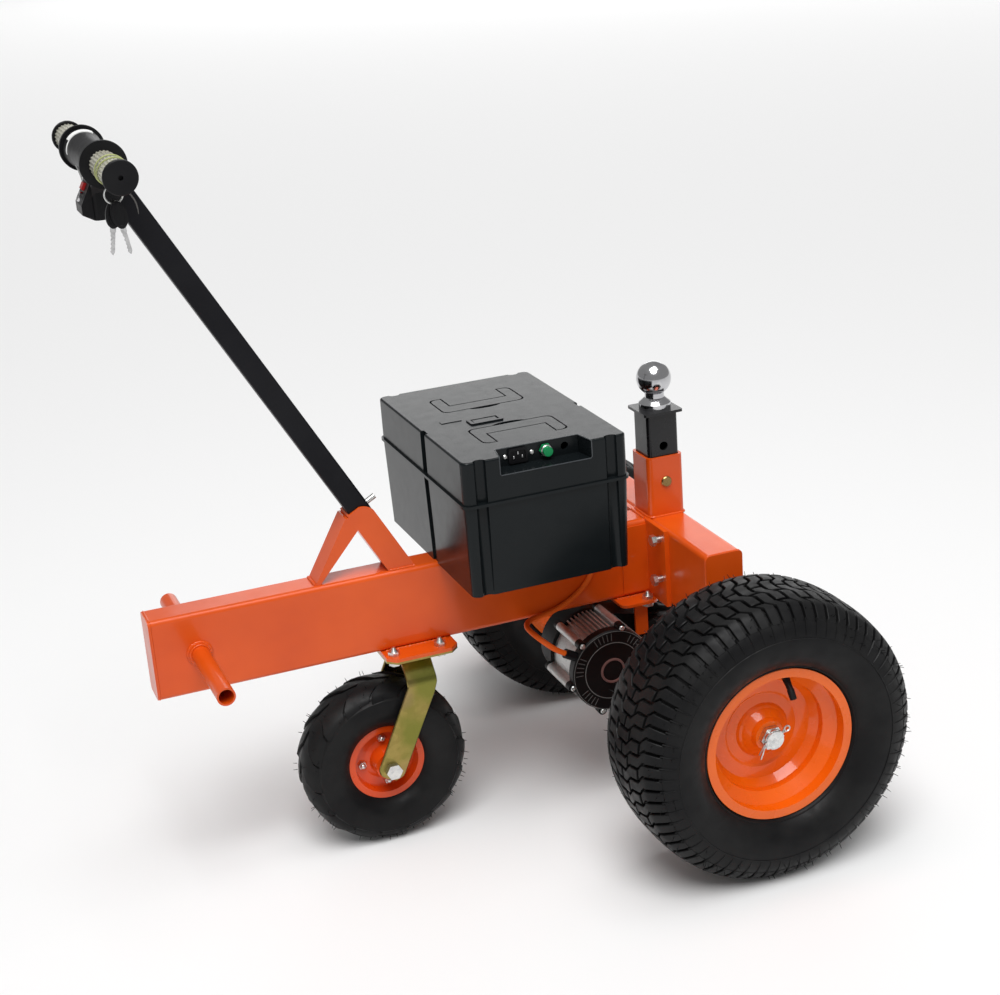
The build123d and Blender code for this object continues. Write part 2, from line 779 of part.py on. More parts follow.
def cavity_outline():
    """Draw the room inside the case and the lid in the open sketch, left full behind the grooves."""
    with Locations((box_mid_x, 0)):
        RectangleRounded(box_length - 2 * (box_taper + box_wall),
                         2 * (box_half_width - box_taper - box_wall), box_corner - box_wall)
    groove_shapes(box_edge)


with BuildPart() as battery_case:
    with BuildSketch(Plane.XY.offset(beam_top)):
        with Locations((box_mid_x, 0)):
            RectangleRounded(box_length - 2 * box_taper, 2 * (box_half_width - box_taper), box_corner)
    with BuildSketch(Plane.XY.offset(box_seam_z)):
        with Locations((box_mid_x, 0)):
            RectangleRounded(box_length, 2 * box_half_width, box_corner)
    loft()
    with BuildSketch(Plane.XY.offset(box_seam_z)):
        cavity_outline()
    extrude(amount=-(box_seam_z - beam_top - box_wall), mode=Mode.SUBTRACT)
    with BuildSketch(Plane.XY.offset(beam_top)):
        groove_shapes(0)
    extrude(amount=box_seam_z - beam_top, mode=Mode.SUBTRACT)
keep("battery_case", battery_case.part)


def bail_outline(side, grow):
    """Draw a U-shaped bail in the open sketch, its bar towards the lid's middle, grown by a gap."""
    out = lid_handle_out + grow
    bar_edge = lid_handle_in + lid_handle_bar + grow
    with Locations((lid_handle_x, lid_handle_y + side * (lid_handle_in - grow + out) / 2)):
        RectangleRounded(lid_handle_length + 2 * grow, out - lid_handle_in + grow, lid_handle_corner)
    with Locations((lid_handle_x, lid_handle_y + side * (bar_edge + out) / 2)):
        Rectangle(lid_handle_length - 2 * (lid_handle_arm + grow), out - bar_edge, mode=Mode.SUBTRACT)


with BuildPart() as battery_lid:
    with BuildSketch(Plane.XY.offset(box_seam_z + lid_lip_height)):
        with Locations((box_mid_x, 0)):
            RectangleRounded(box_length, 2 * box_half_width, box_corner)
    extrude(amount=box_top - box_seam_z - lid_lip_height)
    fillet(battery_lid.edges().filter_by(Plane.XY).group_by(Axis.Z)[-1], box_edge)
    with BuildSketch(Plane.XY.offset(box_seam_z + lid_lip_height)):
        groove_shapes(0)
    extrude(amount=box_top - box_seam_z, mode=Mode.SUBTRACT)
    with BuildSketch(Plane.XY.offset(box_seam_z)):
        with Locations((box_mid_x, 0)):
            RectangleRounded(box_length + 2 * lid_lip, 2 * (box_half_width + lid_lip), box_corner + lid_lip)
    extrude(amount=lid_lip_height)
    with BuildSketch(Plane.XY.offset(box_seam_z)):
        cavity_outline()
    extrude(amount=box_top - box_seam_z - lid_roof, mode=Mode.SUBTRACT)
    with BuildSketch(Plane.XY.offset(panel_z0 - box_wall)):
        with Locations(((panel_x0 + panel_x1) / 2, box_edge - box_half_width)):
            Rectangle(panel_x1 - panel_x0 + 2 * box_wall, panel_depth + box_wall - box_edge,
                      align=(Align.CENTER, Align.MIN))
    extrude(amount=panel_height + box_wall - lid_roof / 2)
    with BuildSketch(Plane.XY.offset(panel_z0)):
        with BuildLine():
            back_y = panel_depth - box_half_width
            mouth_y = -box_half_width - lid_lip
            Polyline((panel_x0, mouth_y), (panel_x0 + panel_splay, back_y), (panel_x1 - panel_splay, back_y),
                     (panel_x1, mouth_y), close=True)
        make_face()
    extrude(amount=2 * panel_height, mode=Mode.SUBTRACT)
    with BuildSketch(Plane.XZ.offset(-back_y)):
        with Locations((panel_x0 + panel_hole_inset, panel_mid_z)):
            Circle(panel_hole_radius)
    extrude(amount=-2 * box_wall, mode=Mode.SUBTRACT)
    for side in (1, -1):
        with BuildSketch(Plane.XY.offset(box_top)):
            bail_outline(side, lid_handle_gap)
        extrude(amount=-lid_handle_thickness, mode=Mode.SUBTRACT)
        with BuildSketch(Plane.XY.offset(box_top)):
            with Locations((lid_handle_x, lid_handle_y + side * lid_handle_in)):
                Ellipse(scoop_half_length, scoop_half_width)
        extrude(amount=-lid_handle_thickness, mode=Mode.SUBTRACT)
    with BuildSketch(Plane.XY.offset(box_top)):
        with Locations((latch_x, latch_y)):
            RectangleRounded(latch_length, latch_width, box_edge)
    extrude(amount=latch_height)
    with BuildSketch(Plane.XY.offset(box_top + latch_height)):
        with Locations((latch_x, latch_y)):
            Rectangle(latch_length - 2 * latch_rim, latch_width - 2 * latch_rim)
    extrude(amount=-latch_height, mode=Mode.SUBTRACT)
keep("battery_lid", battery_lid.part)

# Lid handles: two flat bails lying flush in the lid's top
with BuildPart() as lid_handles:
    for side in (1, -1):
        with BuildSketch(Plane.XY.offset(box_top)):
            bail_outline(side, 0)
        extrude(amount=-lid_handle_thickness)
keep("lid_handles", lid_handles.part)

# Charge inlet and breaker button on the recess's back wall
panel_y = -box_half_width + panel_depth
with BuildPart() as charge_inlet:
    with BuildSketch(Plane.XZ.offset(-panel_y)):
        with Locations((inlet_x, panel_mid_z)):
            RectangleRounded(inlet_width, inlet_height, inlet_rim)
    extrude(amount=inlet_depth)
    with BuildSketch(Plane.XZ.offset(inlet_depth - panel_y)):
        with Locations((inlet_x, panel_mid_z)):
            RectangleRounded(inlet_width - 2 * inlet_rim, inlet_height - 2 * inlet_rim, inlet_rim)
    extrude(amount=-inlet_depth / 2, mode=Mode.SUBTRACT)
keep("charge_inlet", charge_inlet.part)

with BuildPart() as breaker_button:
    with BuildSketch(Plane.XZ.offset(-panel_y)):
        with Locations((button_x, panel_mid_z)):
            RegularPolygon(button_nut_radius, 6)
    extrude(amount=button_nut_length)
    with BuildSketch(Plane.XZ.offset(-panel_y)):
        with Locations((button_x, panel_mid_z)):
            Circle(button_radius)
    extrude(amount=button_length)
keep("breaker_button", breaker_button.part)

# Batteries: one plain block for the pair inside the box
with BuildPart() as batteries:
    with Locations((box_mid_x, 0, beam_top + box_wall)):
        Box(battery_length, battery_pair_width, battery_height, align=(Align.CENTER, Align.CENTER, Align.MIN))
keep("batteries", batteries.part)

# Transaxle: a split gear case round the axle, the motor's mounting flange and an axle tube to each side
lug_places = [Vector(motor_x, motor_z) + Vector(motor_lug_orbit_radius, 0).rotate(Axis.Z, motor_lug_angle + turn * 60.0)
              for turn in range(motor_lug_count)]
with BuildPart() as transaxle:
    with BuildSketch(Plane.XZ.offset(-motor_far_y)):
        with Locations((motor_x, motor_z)):
            Circle(cover_radius)
        with Locations(*lug_places):
            Circle(motor_lug_radius)
    extrude(amount=-mount_flange_thickness)
    with BuildSketch(Plane.XZ.offset(-motor_far_y)):
        with BuildLine():
            Polyline((motor_x, motor_z + motor_radius), (motor_x, motor_z - motor_radius),
                     (axle_x, axle_z - gear_case_radius), (axle_x, axle_z + gear_case_radius), close=True)
        make_face()
        with Locations((motor_x, motor_z)):
            Circle(motor_radius)
    extrude(amount=-(gear_case_half - motor_far_y))
    for radius, half in ((gear_case_radius, gear_case_half), (case_flange_radius, case_flange_half),
                         (axle_tube_radius, axle_tube_half)):
        with BuildSketch(Plane.XZ):
            with Locations((axle_x, axle_z)):
                Circle(radius)
        extrude(amount=half, both=True)
    with BuildSketch(Plane.XZ):
        with Locations((axle_x, axle_z)):
            with PolarLocations(case_flange_radius, case_bolt_count):
                Circle(case_boss_radius)
    extrude(amount=2 * case_flange_half, both=True)
    for side in (1, -1):
        with BuildSketch(Plane.XY.offset(axle_z)):
            with BuildLine():
                cone_end = side * (gear_case_half + axle_cone_length)
                Polyline((axle_x, side * gear_case_half), (axle_x + axle_cone_radius, side * gear_case_half),
                         (axle_x + axle_tube_radius, cone_end), (axle_x, cone_end), close=True)
            make_face()
        revolve(axis=Axis((axle_x, 0, axle_z), (0, 1, 0)))
        with BuildSketch(Plane.XZ.offset(-side * axle_tube_half)):
            with Locations((axle_x, axle_z)):
                Circle(axle_end_radius)
        extrude(amount=side * axle_end_length)
    with BuildSketch(Plane.XZ):
        with Locations((axle_x, axle_z)):
            Circle(axle_bore)
    extrude(amount=axle_tube_half, both=True, mode=Mode.SUBTRACT)
keep("transaxle", transaxle.part)

# Axle bracket: the plate under the beam's end, with an ear down each side of the gear case
with BuildPart() as axle_bracket:
    with BuildSketch(Plane.XY.offset(beam_bottom)):
        with Locations((bracket_x, 0)):
            RectangleRounded(bracket_length, 2 * bracket_half_width, bracket_corner)
        with Locations(*bracket_bolts):
            Circle(bolt_radius, mode=Mode.SUBTRACT)
    extrude(amount=-bracket_thickness)
    for side in (1, -1):
        ear_y = side * (gear_case_half + bracket_gap)
        with BuildSketch(Plane.XZ.offset(-ear_y)):
            with Locations((bracket_x + bracket_length / 2 - bracket_corner, beam_bottom - bracket_thickness)):
                Rectangle(ear_width, ear_drop, align=(Align.MAX, Align.MAX))
        extrude(amount=-side * bracket_thickness)
keep("axle_bracket", axle_bracket.part)

# Motor: a housing with tie-bolt lugs, and axial fins between them except where the cable leaves
def lug_outline():
    """Draw the lugs' bosses and the webs that carry them in the open sketch."""
    with Locations(*lug_places):
        Circle(motor_lug_radius)
    with Locations((motor_x, motor_z)):
        with PolarLocations(motor_lug_orbit_radius - motor_lug_radius, motor_lug_count, motor_lug_angle):
            Rectangle(2 * motor_lug_radius, 2 * motor_lug_radius)


with BuildPart() as motor_housing:
    with BuildSketch(Plane.XZ.offset(-motor_far_y)):
        with Locations((motor_x, motor_z)):
            Circle(motor_radius)
        lug_outline()
        sector = 360 / motor_lug_count
        fan = (motor_sector_fins - 1) * motor_fin_pitch
        with Locations((motor_x, motor_z)):
            for turn in range(motor_lug_count):
                if turn != motor_smooth_sector:
                    first = motor_lug_angle + (turn + 0.5) * sector - fan / 2
                    with PolarLocations(motor_radius, motor_sector_fins, first, fan, endpoint=True):
                        Rectangle(2 * motor_fin_height, motor_fin_thickness)
    extrude(amount=motor_far_y - motor_near_y)
keep("motor_housing", motor_housing.part)

# Motor cover: a flat end bell with a disc, a ring at its centre and vents cut round its rim
with BuildPart() as motor_cover:
    cover_face = Plane.XZ.offset(cover_thickness - motor_near_y)
    with BuildSketch(Plane.XZ.offset(-motor_near_y)):
        with Locations((motor_x, motor_z)):
            Circle(cover_radius)
    extrude(amount=cover_thickness)
    chamfer(motor_cover.edges().filter_by(GeomType.CIRCLE).group_by(Axis.Y)[0], cover_edge)
    with BuildSketch(Plane.XZ.offset(-motor_near_y)):
        lug_outline()
    extrude(amount=cover_thickness - cover_edge)
    with BuildSketch(cover_face):
        with Locations((motor_x, motor_z)):
            Circle(cover_disc_radius + cover_groove)
            Circle(cover_disc_radius, mode=Mode.SUBTRACT)
    extrude(amount=-cover_groove, mode=Mode.SUBTRACT)
    with BuildSketch(cover_face):
        with Locations((motor_x, motor_z)):
            for turn in range(motor_lug_count):
                first = motor_lug_angle + (turn + 0.5) * sector - cover_slot_fan / 2
                with PolarLocations((cover_slot_in + cover_slot_out) / 2, cover_slot_count, first,
                                    cover_slot_fan, endpoint=True):
                    Rectangle(cover_slot_out - cover_slot_in, cover_slot_width)
    extrude(amount=-cover_slot_depth, mode=Mode.SUBTRACT)
    with BuildSketch(cover_face):
        with Locations((motor_x, motor_z)):
            Circle(cover_ring_radius)
            Circle(cover_ring_radius - cover_ring_width, mode=Mode.SUBTRACT)
    extrude(amount=cover_ring_height)
keep("motor_cover", motor_cover.part)

# Gland: where the motor cable enters the cover's rim
gland_direction = Vector(cos(radians(gland_angle)), 0, sin(radians(gland_angle)))
gland_foot = Vector(motor_x, motor_near_y - cover_thickness / 2, motor_z) + gland_direction * (cover_radius - 2.0)
with BuildPart() as motor_gland:
    with BuildSketch(Plane(origin=gland_foot, z_dir=gland_direction)):
        Circle(gland_radius)
    extrude(amount=gland_length)
    with BuildSketch(Plane.XZ.offset(-motor_near_y)):
        with Locations((motor_x, motor_z)):
            Circle(cover_radius)
    extrude(amount=cover_thickness, mode=Mode.SUBTRACT)
keep("motor_gland", motor_gland.part)

# Motor cable: from the gland round the beam's lower edge, up its face and into the case's floor
cable_start = gland_foot + gland_direction * gland_length
cable_points = [tuple(cable_start), tuple(cable_start + gland_direction * 12.0)]
# Reach ahead of the axle, distance to the right, rise over the beam's bottom
for reach, out, rise in (
    (204.5, 94.0, -14.5),
    (213.5, 86.0, -6.5),
    (219.5, 73.0, -1.0),
    (221.5, 58.0, 1.5),
    (218.0, 44.0, 2.2),
    (208.5, 34.0, 2.2),
    (195.0, 30.5, 3.0),
    (178.0, 30.0, 5.0),
    (157.0, 30.0, 11.0),
    (135.0, 30.0, 22.0),
    (116.5, 30.0, 37.0),
    (106.0, 30.3, 54.5),
    (104.0, 32.0, 72.5),
    (109.0, 35.5, 89.0),
    (113.0, 37.5, 103.0),
    (113.0, 37.5, beam_height),
):
    cable_points.append((axle_x - reach, -out, beam_bottom + rise))


def corner_radii(points):
    """The largest arcs that fit a route: 0.45 of the shorter run over the tangent of half the turn."""
    steps = [Vector(*b) - Vector(*a) for a, b in zip(points, points[1:])]
    radii = []
    for one, two in zip(steps, steps[1:]):
        turn = radians(one.get_angle(two))
        radii.append(0.45 * min(one.length, two.length) / tan(turn / 2))
    return radii


with BuildPart() as motor_cable:
    cable_radii = corner_radii(cable_points)
    with BuildLine() as cable_route:
        FilletPolyline(*cable_points, radius=cable_radii)
    with BuildSketch(cable_route.line ^ 0):
        Circle(cable_radius)
    sweep()
cable_length = sum(edge.length for edge in cable_route.edges())
print("cable length", round(cable_length, 1), "radii", [round(r) for r in cable_radii])
keep("motor_cable", motor_cable.part)

# Caster mount: the frame's own plate under the beam, drilled for the caster's bolts
plate_top = beam_bottom - caster_mount_thickness
plate_bottom = plate_top - caster_plate_thickness


def caster_plate_outline():
    """Draw the outline that both caster plates share in the open sketch, with its bolt holes."""
    with Locations((kingpin_x + (caster_plate_back - caster_plate_front) / 2, 0)):
        Rectangle(caster_plate_front + caster_plate_back, 2 * caster_plate_half)
    chamfer(vertices(), caster_plate_corner)
    with Locations(*caster_bolts):
        Circle(bolt_radius, mode=Mode.SUBTRACT)


with BuildPart() as caster_mount:
    with BuildSketch(Plane.XY.offset(beam_bottom)):
        caster_plate_outline()
    extrude(amount=-caster_mount_thickness)
keep("caster_mount", caster_mount.part)

# Caster plate: the caster's own plate, its raceway, and the kingpin with its nut
head_top = plate_bottom - raceway_height - swivel_gap
with BuildPart() as caster_plate:
    with BuildSketch(Plane.XY.offset(plate_top)):
        caster_plate_outline()
    extrude(amount=-caster_plate_thickness)
    with BuildSketch(Plane.XY.offset(plate_bottom)):
        with Locations((kingpin_x, 0)):
            Circle(raceway_radius)
    extrude(amount=-raceway_height)
    nut_top = head_top - fork_thickness - 2 * swivel_gap
    with BuildSketch(Plane.XY.offset(plate_bottom)):
        with Locations((kingpin_x, 0)):
            Circle(kingpin_radius)
    extrude(amount=nut_top - plate_bottom)
    with BuildSketch(Plane.XY.offset(nut_top)):
        with Locations((kingpin_x, 0)):
            RegularPolygon(kingpin_nut_radius, 6)
    extrude(amount=-kingpin_nut_height)
keep("caster_plate", caster_plate.part)

# Caster fork: one strap bent over the wheel, cut in side view to a square head and two leaning legs
foot_z = caster_radius - fork_foot - fork_leg_width
leg_rise = hypot(caster_trail, fork_bend_z - caster_radius)
leg_lean = atan2(caster_trail, fork_bend_z - caster_radius)
leg_foot = (caster_axle_x - fork_foot * sin(leg_lean), caster_radius - fork_foot * cos(leg_lean))
with BuildPart() as caster_fork:
    with BuildSketch(Plane.YZ.offset(kingpin_x)):
        with BuildLine():
            FilletPolyline((-fork_half_width, foot_z), (-fork_half_width, fork_bend_z), (-fork_head_half, head_top),
                           (fork_head_half, head_top), (fork_half_width, fork_bend_z), (fork_half_width, foot_z),
                           radius=fork_bend_radius)
            offset(amount=fork_thickness, side=Side.RIGHT)
        make_face()
    extrude(amount=caster_trail + fork_head_length, both=True)
    with BuildSketch(Plane.XZ):
        with Locations(Location((leg_foot[0], leg_foot[1], 0), (0, 0, -degrees(leg_lean)))):
            Rectangle(fork_leg_width, leg_rise + fork_foot, align=(Align.CENTER, Align.MIN))
        fillet(vertices().sort_by(Axis.X)[0], fork_foot_round)
        chamfer(vertices().sort_by(Axis.Y)[0], fork_foot_chamfer)
        with Locations((kingpin_x, fork_bend_z)):
            Rectangle(fork_head_length, head_top - fork_bend_z, align=(Align.CENTER, Align.MIN))
        with Locations((caster_axle_x, caster_radius)):
            Circle(caster_axle_radius, mode=Mode.SUBTRACT)
    extrude(amount=fork_half_width, both=True, mode=Mode.INTERSECT)
    with BuildSketch(Plane.XY.offset(head_top)):
        with Locations((kingpin_x, 0)):
            Circle(kingpin_radius + running_gap)
    extrude(amount=-2 * fork_thickness, mode=Mode.SUBTRACT)
keep("caster_fork", caster_fork.part)

with BuildPart() as caster_axle:
    with BuildSketch(Plane.XZ):
        with Locations((caster_axle_x, caster_radius)):
            Circle(caster_axle_radius)
    extrude(amount=fork_half_width, both=True)
    for side in (1, -1):
        with BuildSketch(Plane.XZ.offset(side * fork_half_width)):
            with Locations((caster_axle_x, caster_radius)):
                RegularPolygon(caster_nut_radius, 6)
        extrude(amount=side * caster_axle_radius)
keep("caster_axle", caster_axle.part)


def tyre(name, centre, size, shoulder, wall, bead):
    """A tyre's ring, turned from one section: bead seat, a step round the rim's lip, wall, shoulder, tread."""
    centre_x, centre_y = centre
    radius, half_width = size
    shoulder_radius, tread_half = shoulder
    seat, lip, lip_in, lip_out = bead
    edge = radius - tyre_crown * radius
    crown = (edge + 2 * radius) / 3
    with BuildPart() as ring:
        with BuildSketch(Plane.XY.offset(radius)):
            with BuildLine():
                for side in (1, -1):
                    steps = [(seat, 0), (seat, lip_in), (lip, lip_in), (lip, lip_out)]
                    Polyline(*[(centre_x + r, centre_y + side * out) for r, out in steps])
                    arcs = [((lip, lip_out), ((lip + wall) / 2, 0.94 * half_width), (wall, half_width)),
                            ((wall, half_width), ((wall + shoulder_radius) / 2, 0.975 * half_width),
                             (shoulder_radius, 0.87 * half_width)),
                            ((edge, tread_half), (crown, 0.7 * tread_half), (radius, 0))]
                    for arc in arcs:
                        ThreePointArc(*[(centre_x + r, centre_y + side * out) for r, out in arc])
                    Line((centre_x + shoulder_radius, centre_y + side * 0.87 * half_width),
                         (centre_x + edge, centre_y + side * tread_half))
            make_face()
        revolve(axis=Axis((centre_x, 0, radius), (0, 1, 0)))
    keep(name, ring.part)


def rear_rim(name, side):
    """A deep steel rim: lips, bead seats and a well, with a dished disc and its hub."""
    y0 = side * track_half
    seat_out = rim_lip_out - rim_seat_width
    well_out = rim_disc_out + rim_well_width
    half = [(rim_lip_radius, rim_lip_out), (rim_seat_radius, rim_lip_out), (rim_seat_radius, seat_out),
            (rim_well_radius, well_out)]
    barrel = half + [(r, -out) for r, out in reversed(half)]
    hub_face = []
    for radius, rise in hub_steps:
        hub_face += [(radius + rim_thickness, rim_disc_out + rise - rim_thickness), (radius, rim_disc_out + rise)]
    disc_back = rim_disc_out - rim_thickness
    weld = rim_well_radius - rim_thickness / 2
    disc = [(weld, rim_disc_out + rim_dish_edge), (rim_dish_radius, rim_disc_out),
            (rim_bead_radius + rim_thickness, rim_disc_out), (rim_bead_radius, rim_disc_out - rim_bead_depth),
            *hub_face, (hub_radius - rim_thickness, hub_out), (shaft_radius, hub_out), (shaft_radius, -hub_in),
            (hub_radius, -hub_in), (hub_radius, disc_back - rim_bead_depth),
            (rim_bead_radius, disc_back - rim_bead_depth), (rim_bead_radius + rim_thickness, disc_back),
            (rim_dish_radius, disc_back), (weld, rim_disc_out + rim_dish_edge - rim_thickness)]
    with BuildPart() as rim:
        with BuildSketch(Plane.XY.offset(axle_z)):
            with BuildLine():
                Polyline(*[(axle_x + r, y0 + side * out) for r, out in barrel])
                offset(amount=rim_thickness, side=Side.RIGHT if side > 0 else Side.LEFT, kind=Kind.INTERSECTION)
            make_face()
        revolve(axis=Axis((axle_x, 0, axle_z), (0, 1, 0)))
        with BuildSketch(Plane.XY.offset(axle_z)):
            with BuildLine():
                Polyline(*[(axle_x + r, y0 + side * out) for r, out in disc], close=True)
            make_face()
        revolve(axis=Axis((axle_x, 0, axle_z), (0, 1, 0)))
    keep(name, rim.part)


def half_shaft(name, side):
    """A drive shaft with its castle nut outside the hub."""
    with BuildPart() as shaft:
        with BuildSketch(Plane.XZ.offset(-side * (track_half + shaft_out))):
            with Locations((axle_x, axle_z)):
                Circle(shaft_radius)
        extrude(amount=side * (shaft_out + shaft_in))
        with BuildSketch(Plane.XZ.offset(-side * (track_half + hub_out))):
            with Locations((axle_x, axle_z)):
                RegularPolygon(axle_nut_radius, 6)
        extrude(amount=-side * axle_nut_height)
        castle_y = side * (track_half + hub_out + axle_nut_height)
        with BuildSketch(Plane.XZ.offset(-castle_y)):
            with Locations((axle_x, axle_z)):
                Circle(castle_radius)
                with PolarLocations(castle_radius, 6):
                    Rectangle(castle_radius - shaft_radius + castle_slot, castle_slot, mode=Mode.SUBTRACT)
        extrude(amount=-side * castle_height)
    keep(name, shaft.part)


for name, side in (("left", 1), ("right", -1)):
    tyre(f"{name}_tyre", (axle_x, side * track_half), (tyre_radius, tyre_width / 2),
         (tyre_shoulder_radius, tyre_tread_half), tyre_side_radius,
         (rim_seat_radius + bead_gap, rim_lip_radius + bead_gap, rim_lip_out - rim_thickness - bead_gap,
          rim_lip_out + bead_gap))
    rear_rim(f"{name}_rim", side)
    half_shaft(f"{name}_shaft", side)

# Caster wheel: a tyre on a rim that is dished deep to a long hub
tyre("caster_tyre", (caster_axle_x, 0), (caster_radius, caster_width / 2),
     (caster_shoulder_radius, caster_tread_half), caster_side_radius,
     (caster_seat_radius + bead_gap, caster_rim_radius + bead_gap, caster_rim_out - rim_thickness - bead_gap,
      caster_rim_out + bead_gap))
with BuildPart() as caster_rim:
    with BuildSketch(Plane.XY.offset(caster_radius)):
        with BuildLine():
            flange_in = caster_rim_out - rim_thickness
            bowl_radius = caster_seat_radius - rim_thickness
            outline = [(caster_seat_radius, 0), (caster_seat_radius, flange_in), (caster_rim_radius, flange_in),
                       (caster_rim_radius, caster_rim_out), (bowl_radius, caster_rim_out),
                       (bowl_radius - rim_thickness, caster_dish_out), (caster_dish_radius, caster_dish_out),
                       (caster_hub_radius + rim_thickness, caster_dish_out + rim_thickness),
                       (caster_hub_radius, caster_hub_half), (caster_axle_radius + running_gap, caster_hub_half)]
            mirrored = [(r, -out) for r, out in reversed(outline)]
            Polyline(*[(caster_axle_x + r, out) for r, out in outline + mirrored[:-1]], close=True)
        make_face()
    revolve(axis=Axis((caster_axle_x, 0, caster_radius), (0, 1, 0)))
keep("caster_rim", caster_rim.part)
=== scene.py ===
import math
import random

import bpy
from mathutils import Matrix, Vector


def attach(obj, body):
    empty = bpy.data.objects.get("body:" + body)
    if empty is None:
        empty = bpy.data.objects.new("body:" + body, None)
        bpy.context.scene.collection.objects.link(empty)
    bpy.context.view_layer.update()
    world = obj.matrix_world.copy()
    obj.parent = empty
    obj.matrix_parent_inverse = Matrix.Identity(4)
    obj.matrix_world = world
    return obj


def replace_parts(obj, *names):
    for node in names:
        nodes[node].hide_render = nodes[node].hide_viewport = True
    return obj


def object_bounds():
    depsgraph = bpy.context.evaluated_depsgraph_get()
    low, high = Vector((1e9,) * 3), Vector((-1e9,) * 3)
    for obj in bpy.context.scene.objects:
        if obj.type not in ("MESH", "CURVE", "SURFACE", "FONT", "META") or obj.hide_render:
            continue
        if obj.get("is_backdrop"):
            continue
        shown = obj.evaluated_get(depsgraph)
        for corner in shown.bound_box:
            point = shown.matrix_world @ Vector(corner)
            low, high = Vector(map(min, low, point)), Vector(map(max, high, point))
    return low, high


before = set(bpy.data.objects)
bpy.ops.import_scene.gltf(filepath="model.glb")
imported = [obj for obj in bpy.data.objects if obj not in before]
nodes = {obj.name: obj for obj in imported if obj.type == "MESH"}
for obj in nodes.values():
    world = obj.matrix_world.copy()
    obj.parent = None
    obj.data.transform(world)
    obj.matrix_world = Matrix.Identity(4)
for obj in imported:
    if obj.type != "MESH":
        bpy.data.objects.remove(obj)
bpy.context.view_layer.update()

# Units and directions, in metres
millimetre = 0.001
along_x = Vector((1.0, 0.0, 0.0))
along_y = Vector((0.0, 1.0, 0.0))
upward = Vector((0.0, 0.0, 1.0))
rightward = Vector((0.0, -1.0, 0.0))

# Places repeated from the part's source
axle_x = 0.2757
axle_z = 0.203
track_half = 0.325
beam_bottom = 0.292
beam_top = 0.408
nose_x = axle_x - 0.746
push_bar_x = axle_x - 0.682
doubler_x = axle_x - 0.0157
cross_x = axle_x + 0.0195
cross_half = 0.200
kingpin_x = axle_x - 0.383
caster_axle = Vector((axle_x - 0.438, 0.0, 0.122))
motor = Vector((axle_x - 0.1132, 0.0, 0.2215))
motor_face_y = -0.104
bar = Vector((-0.4497, 0.0, 1.023))
lid_top = beam_top + 0.190
panel_x = axle_x - 0.288
panel_y = -0.144
panel_z = lid_top - 0.0125


def new_object(name, data):
    """A new object, linked into the scene."""
    made = bpy.data.objects.new(name, data)
    bpy.context.scene.collection.objects.link(made)
    return made


# Camera: from the photograph's own view of the machine
camera_place = (-0.8014, -2.3551, 1.3835)
camera_data = bpy.data.cameras.new("camera")
camera_data.sensor_width = 36.0
camera_data.lens = 67.8
camera_data.clip_end = 50.0
camera = new_object("camera", camera_data)
camera_right = Vector((0.9292, -0.3627, -0.0710)).normalized()
camera_back = Vector((-0.3191, -0.8843, 0.3410))
camera_back = (camera_back - camera_right * camera_back.dot(camera_right)).normalized()
camera_up = camera_back.cross(camera_right)
camera.matrix_world = Matrix.Translation(camera_place) @ Matrix((
    (camera_right.x, camera_up.x, camera_back.x, 0.0),
    (camera_right.y, camera_up.y, camera_back.y, 0.0),
    (camera_right.z, camera_up.z, camera_back.z, 0.0),
    (0.0, 0.0, 0.0, 1.0)))
bpy.context.scene.camera = camera


# Materials: small helpers that lay noise, tint and bump on one shader
def new_material(name, base, roughness, **sockets):
    material = bpy.data.materials.new(name)
    material.use_nodes = True
    shader = material.node_tree.nodes["Principled BSDF"]
    shader.inputs["Base Color"].default_value = (*base, 1.0)
    shader.inputs["Roughness"].default_value = roughness
    for socket, value in sockets.items():
        shader.inputs[socket.replace("_", " ")].default_value = value
    return material


def node(material, kind, inputs=None, **settings):
    made = material.node_tree.nodes.new(kind)
    for name, value in settings.items():
        setattr(made, name, value)
    for name, value in (inputs or {}).items():
        if isinstance(value, bpy.types.NodeSocket):
            material.node_tree.links.new(value, made.inputs[name])
        else:
            made.inputs[name].default_value = value
    return made


def to_shader(material, socket, value):
    material.node_tree.links.new(value, material.node_tree.nodes["Principled BSDF"].inputs[socket])


def colour_so_far(material):
    """The socket that feeds the shader's base colour."""
    shader = material.node_tree.nodes["Principled BSDF"]
    return shader.inputs["Base Color"].links[0].from_socket


def coords(material, stretch=(1.0, 1.0, 1.0)):
    place = node(material, "ShaderNodeTexCoord").outputs["Object"]
    return node(material, "ShaderNodeMapping", {"Vector": place, "Scale": stretch}).outputs["Vector"]


def noise(material, scale, detail=3.0, stretch=(1.0, 1.0, 1.0), roughness=0.5):
    made = node(material, "ShaderNodeTexNoise", {
        "Vector": coords(material, stretch), "Scale": scale, "Detail": detail, "Roughness": roughness})
    return made.outputs["Fac"]


def spread(material, value, from_low, from_high, to_low=0.0, to_high=1.0):
    made = node(material, "ShaderNodeMapRange", {
        "Value": value, "From Min": from_low, "From Max": from_high, "To Min": to_low, "To Max": to_high})
    return made.outputs["Result"]


def mix(material, share, one, two):
    """Blend two colours; the mix node's colour sockets are reached by number."""
    share_socket, one_socket, two_socket, result_socket = 0, 6, 7, 2
    made = node(material, "ShaderNodeMix", {share_socket: share}, data_type="RGBA")
    for socket, colour in ((one_socket, one), (two_socket, two)):
        if isinstance(colour, bpy.types.NodeSocket):
            material.node_tree.links.new(colour, made.inputs[socket])
        else:
            made.inputs[socket].default_value = (*colour, 1.0)
    return made.outputs[result_socket]


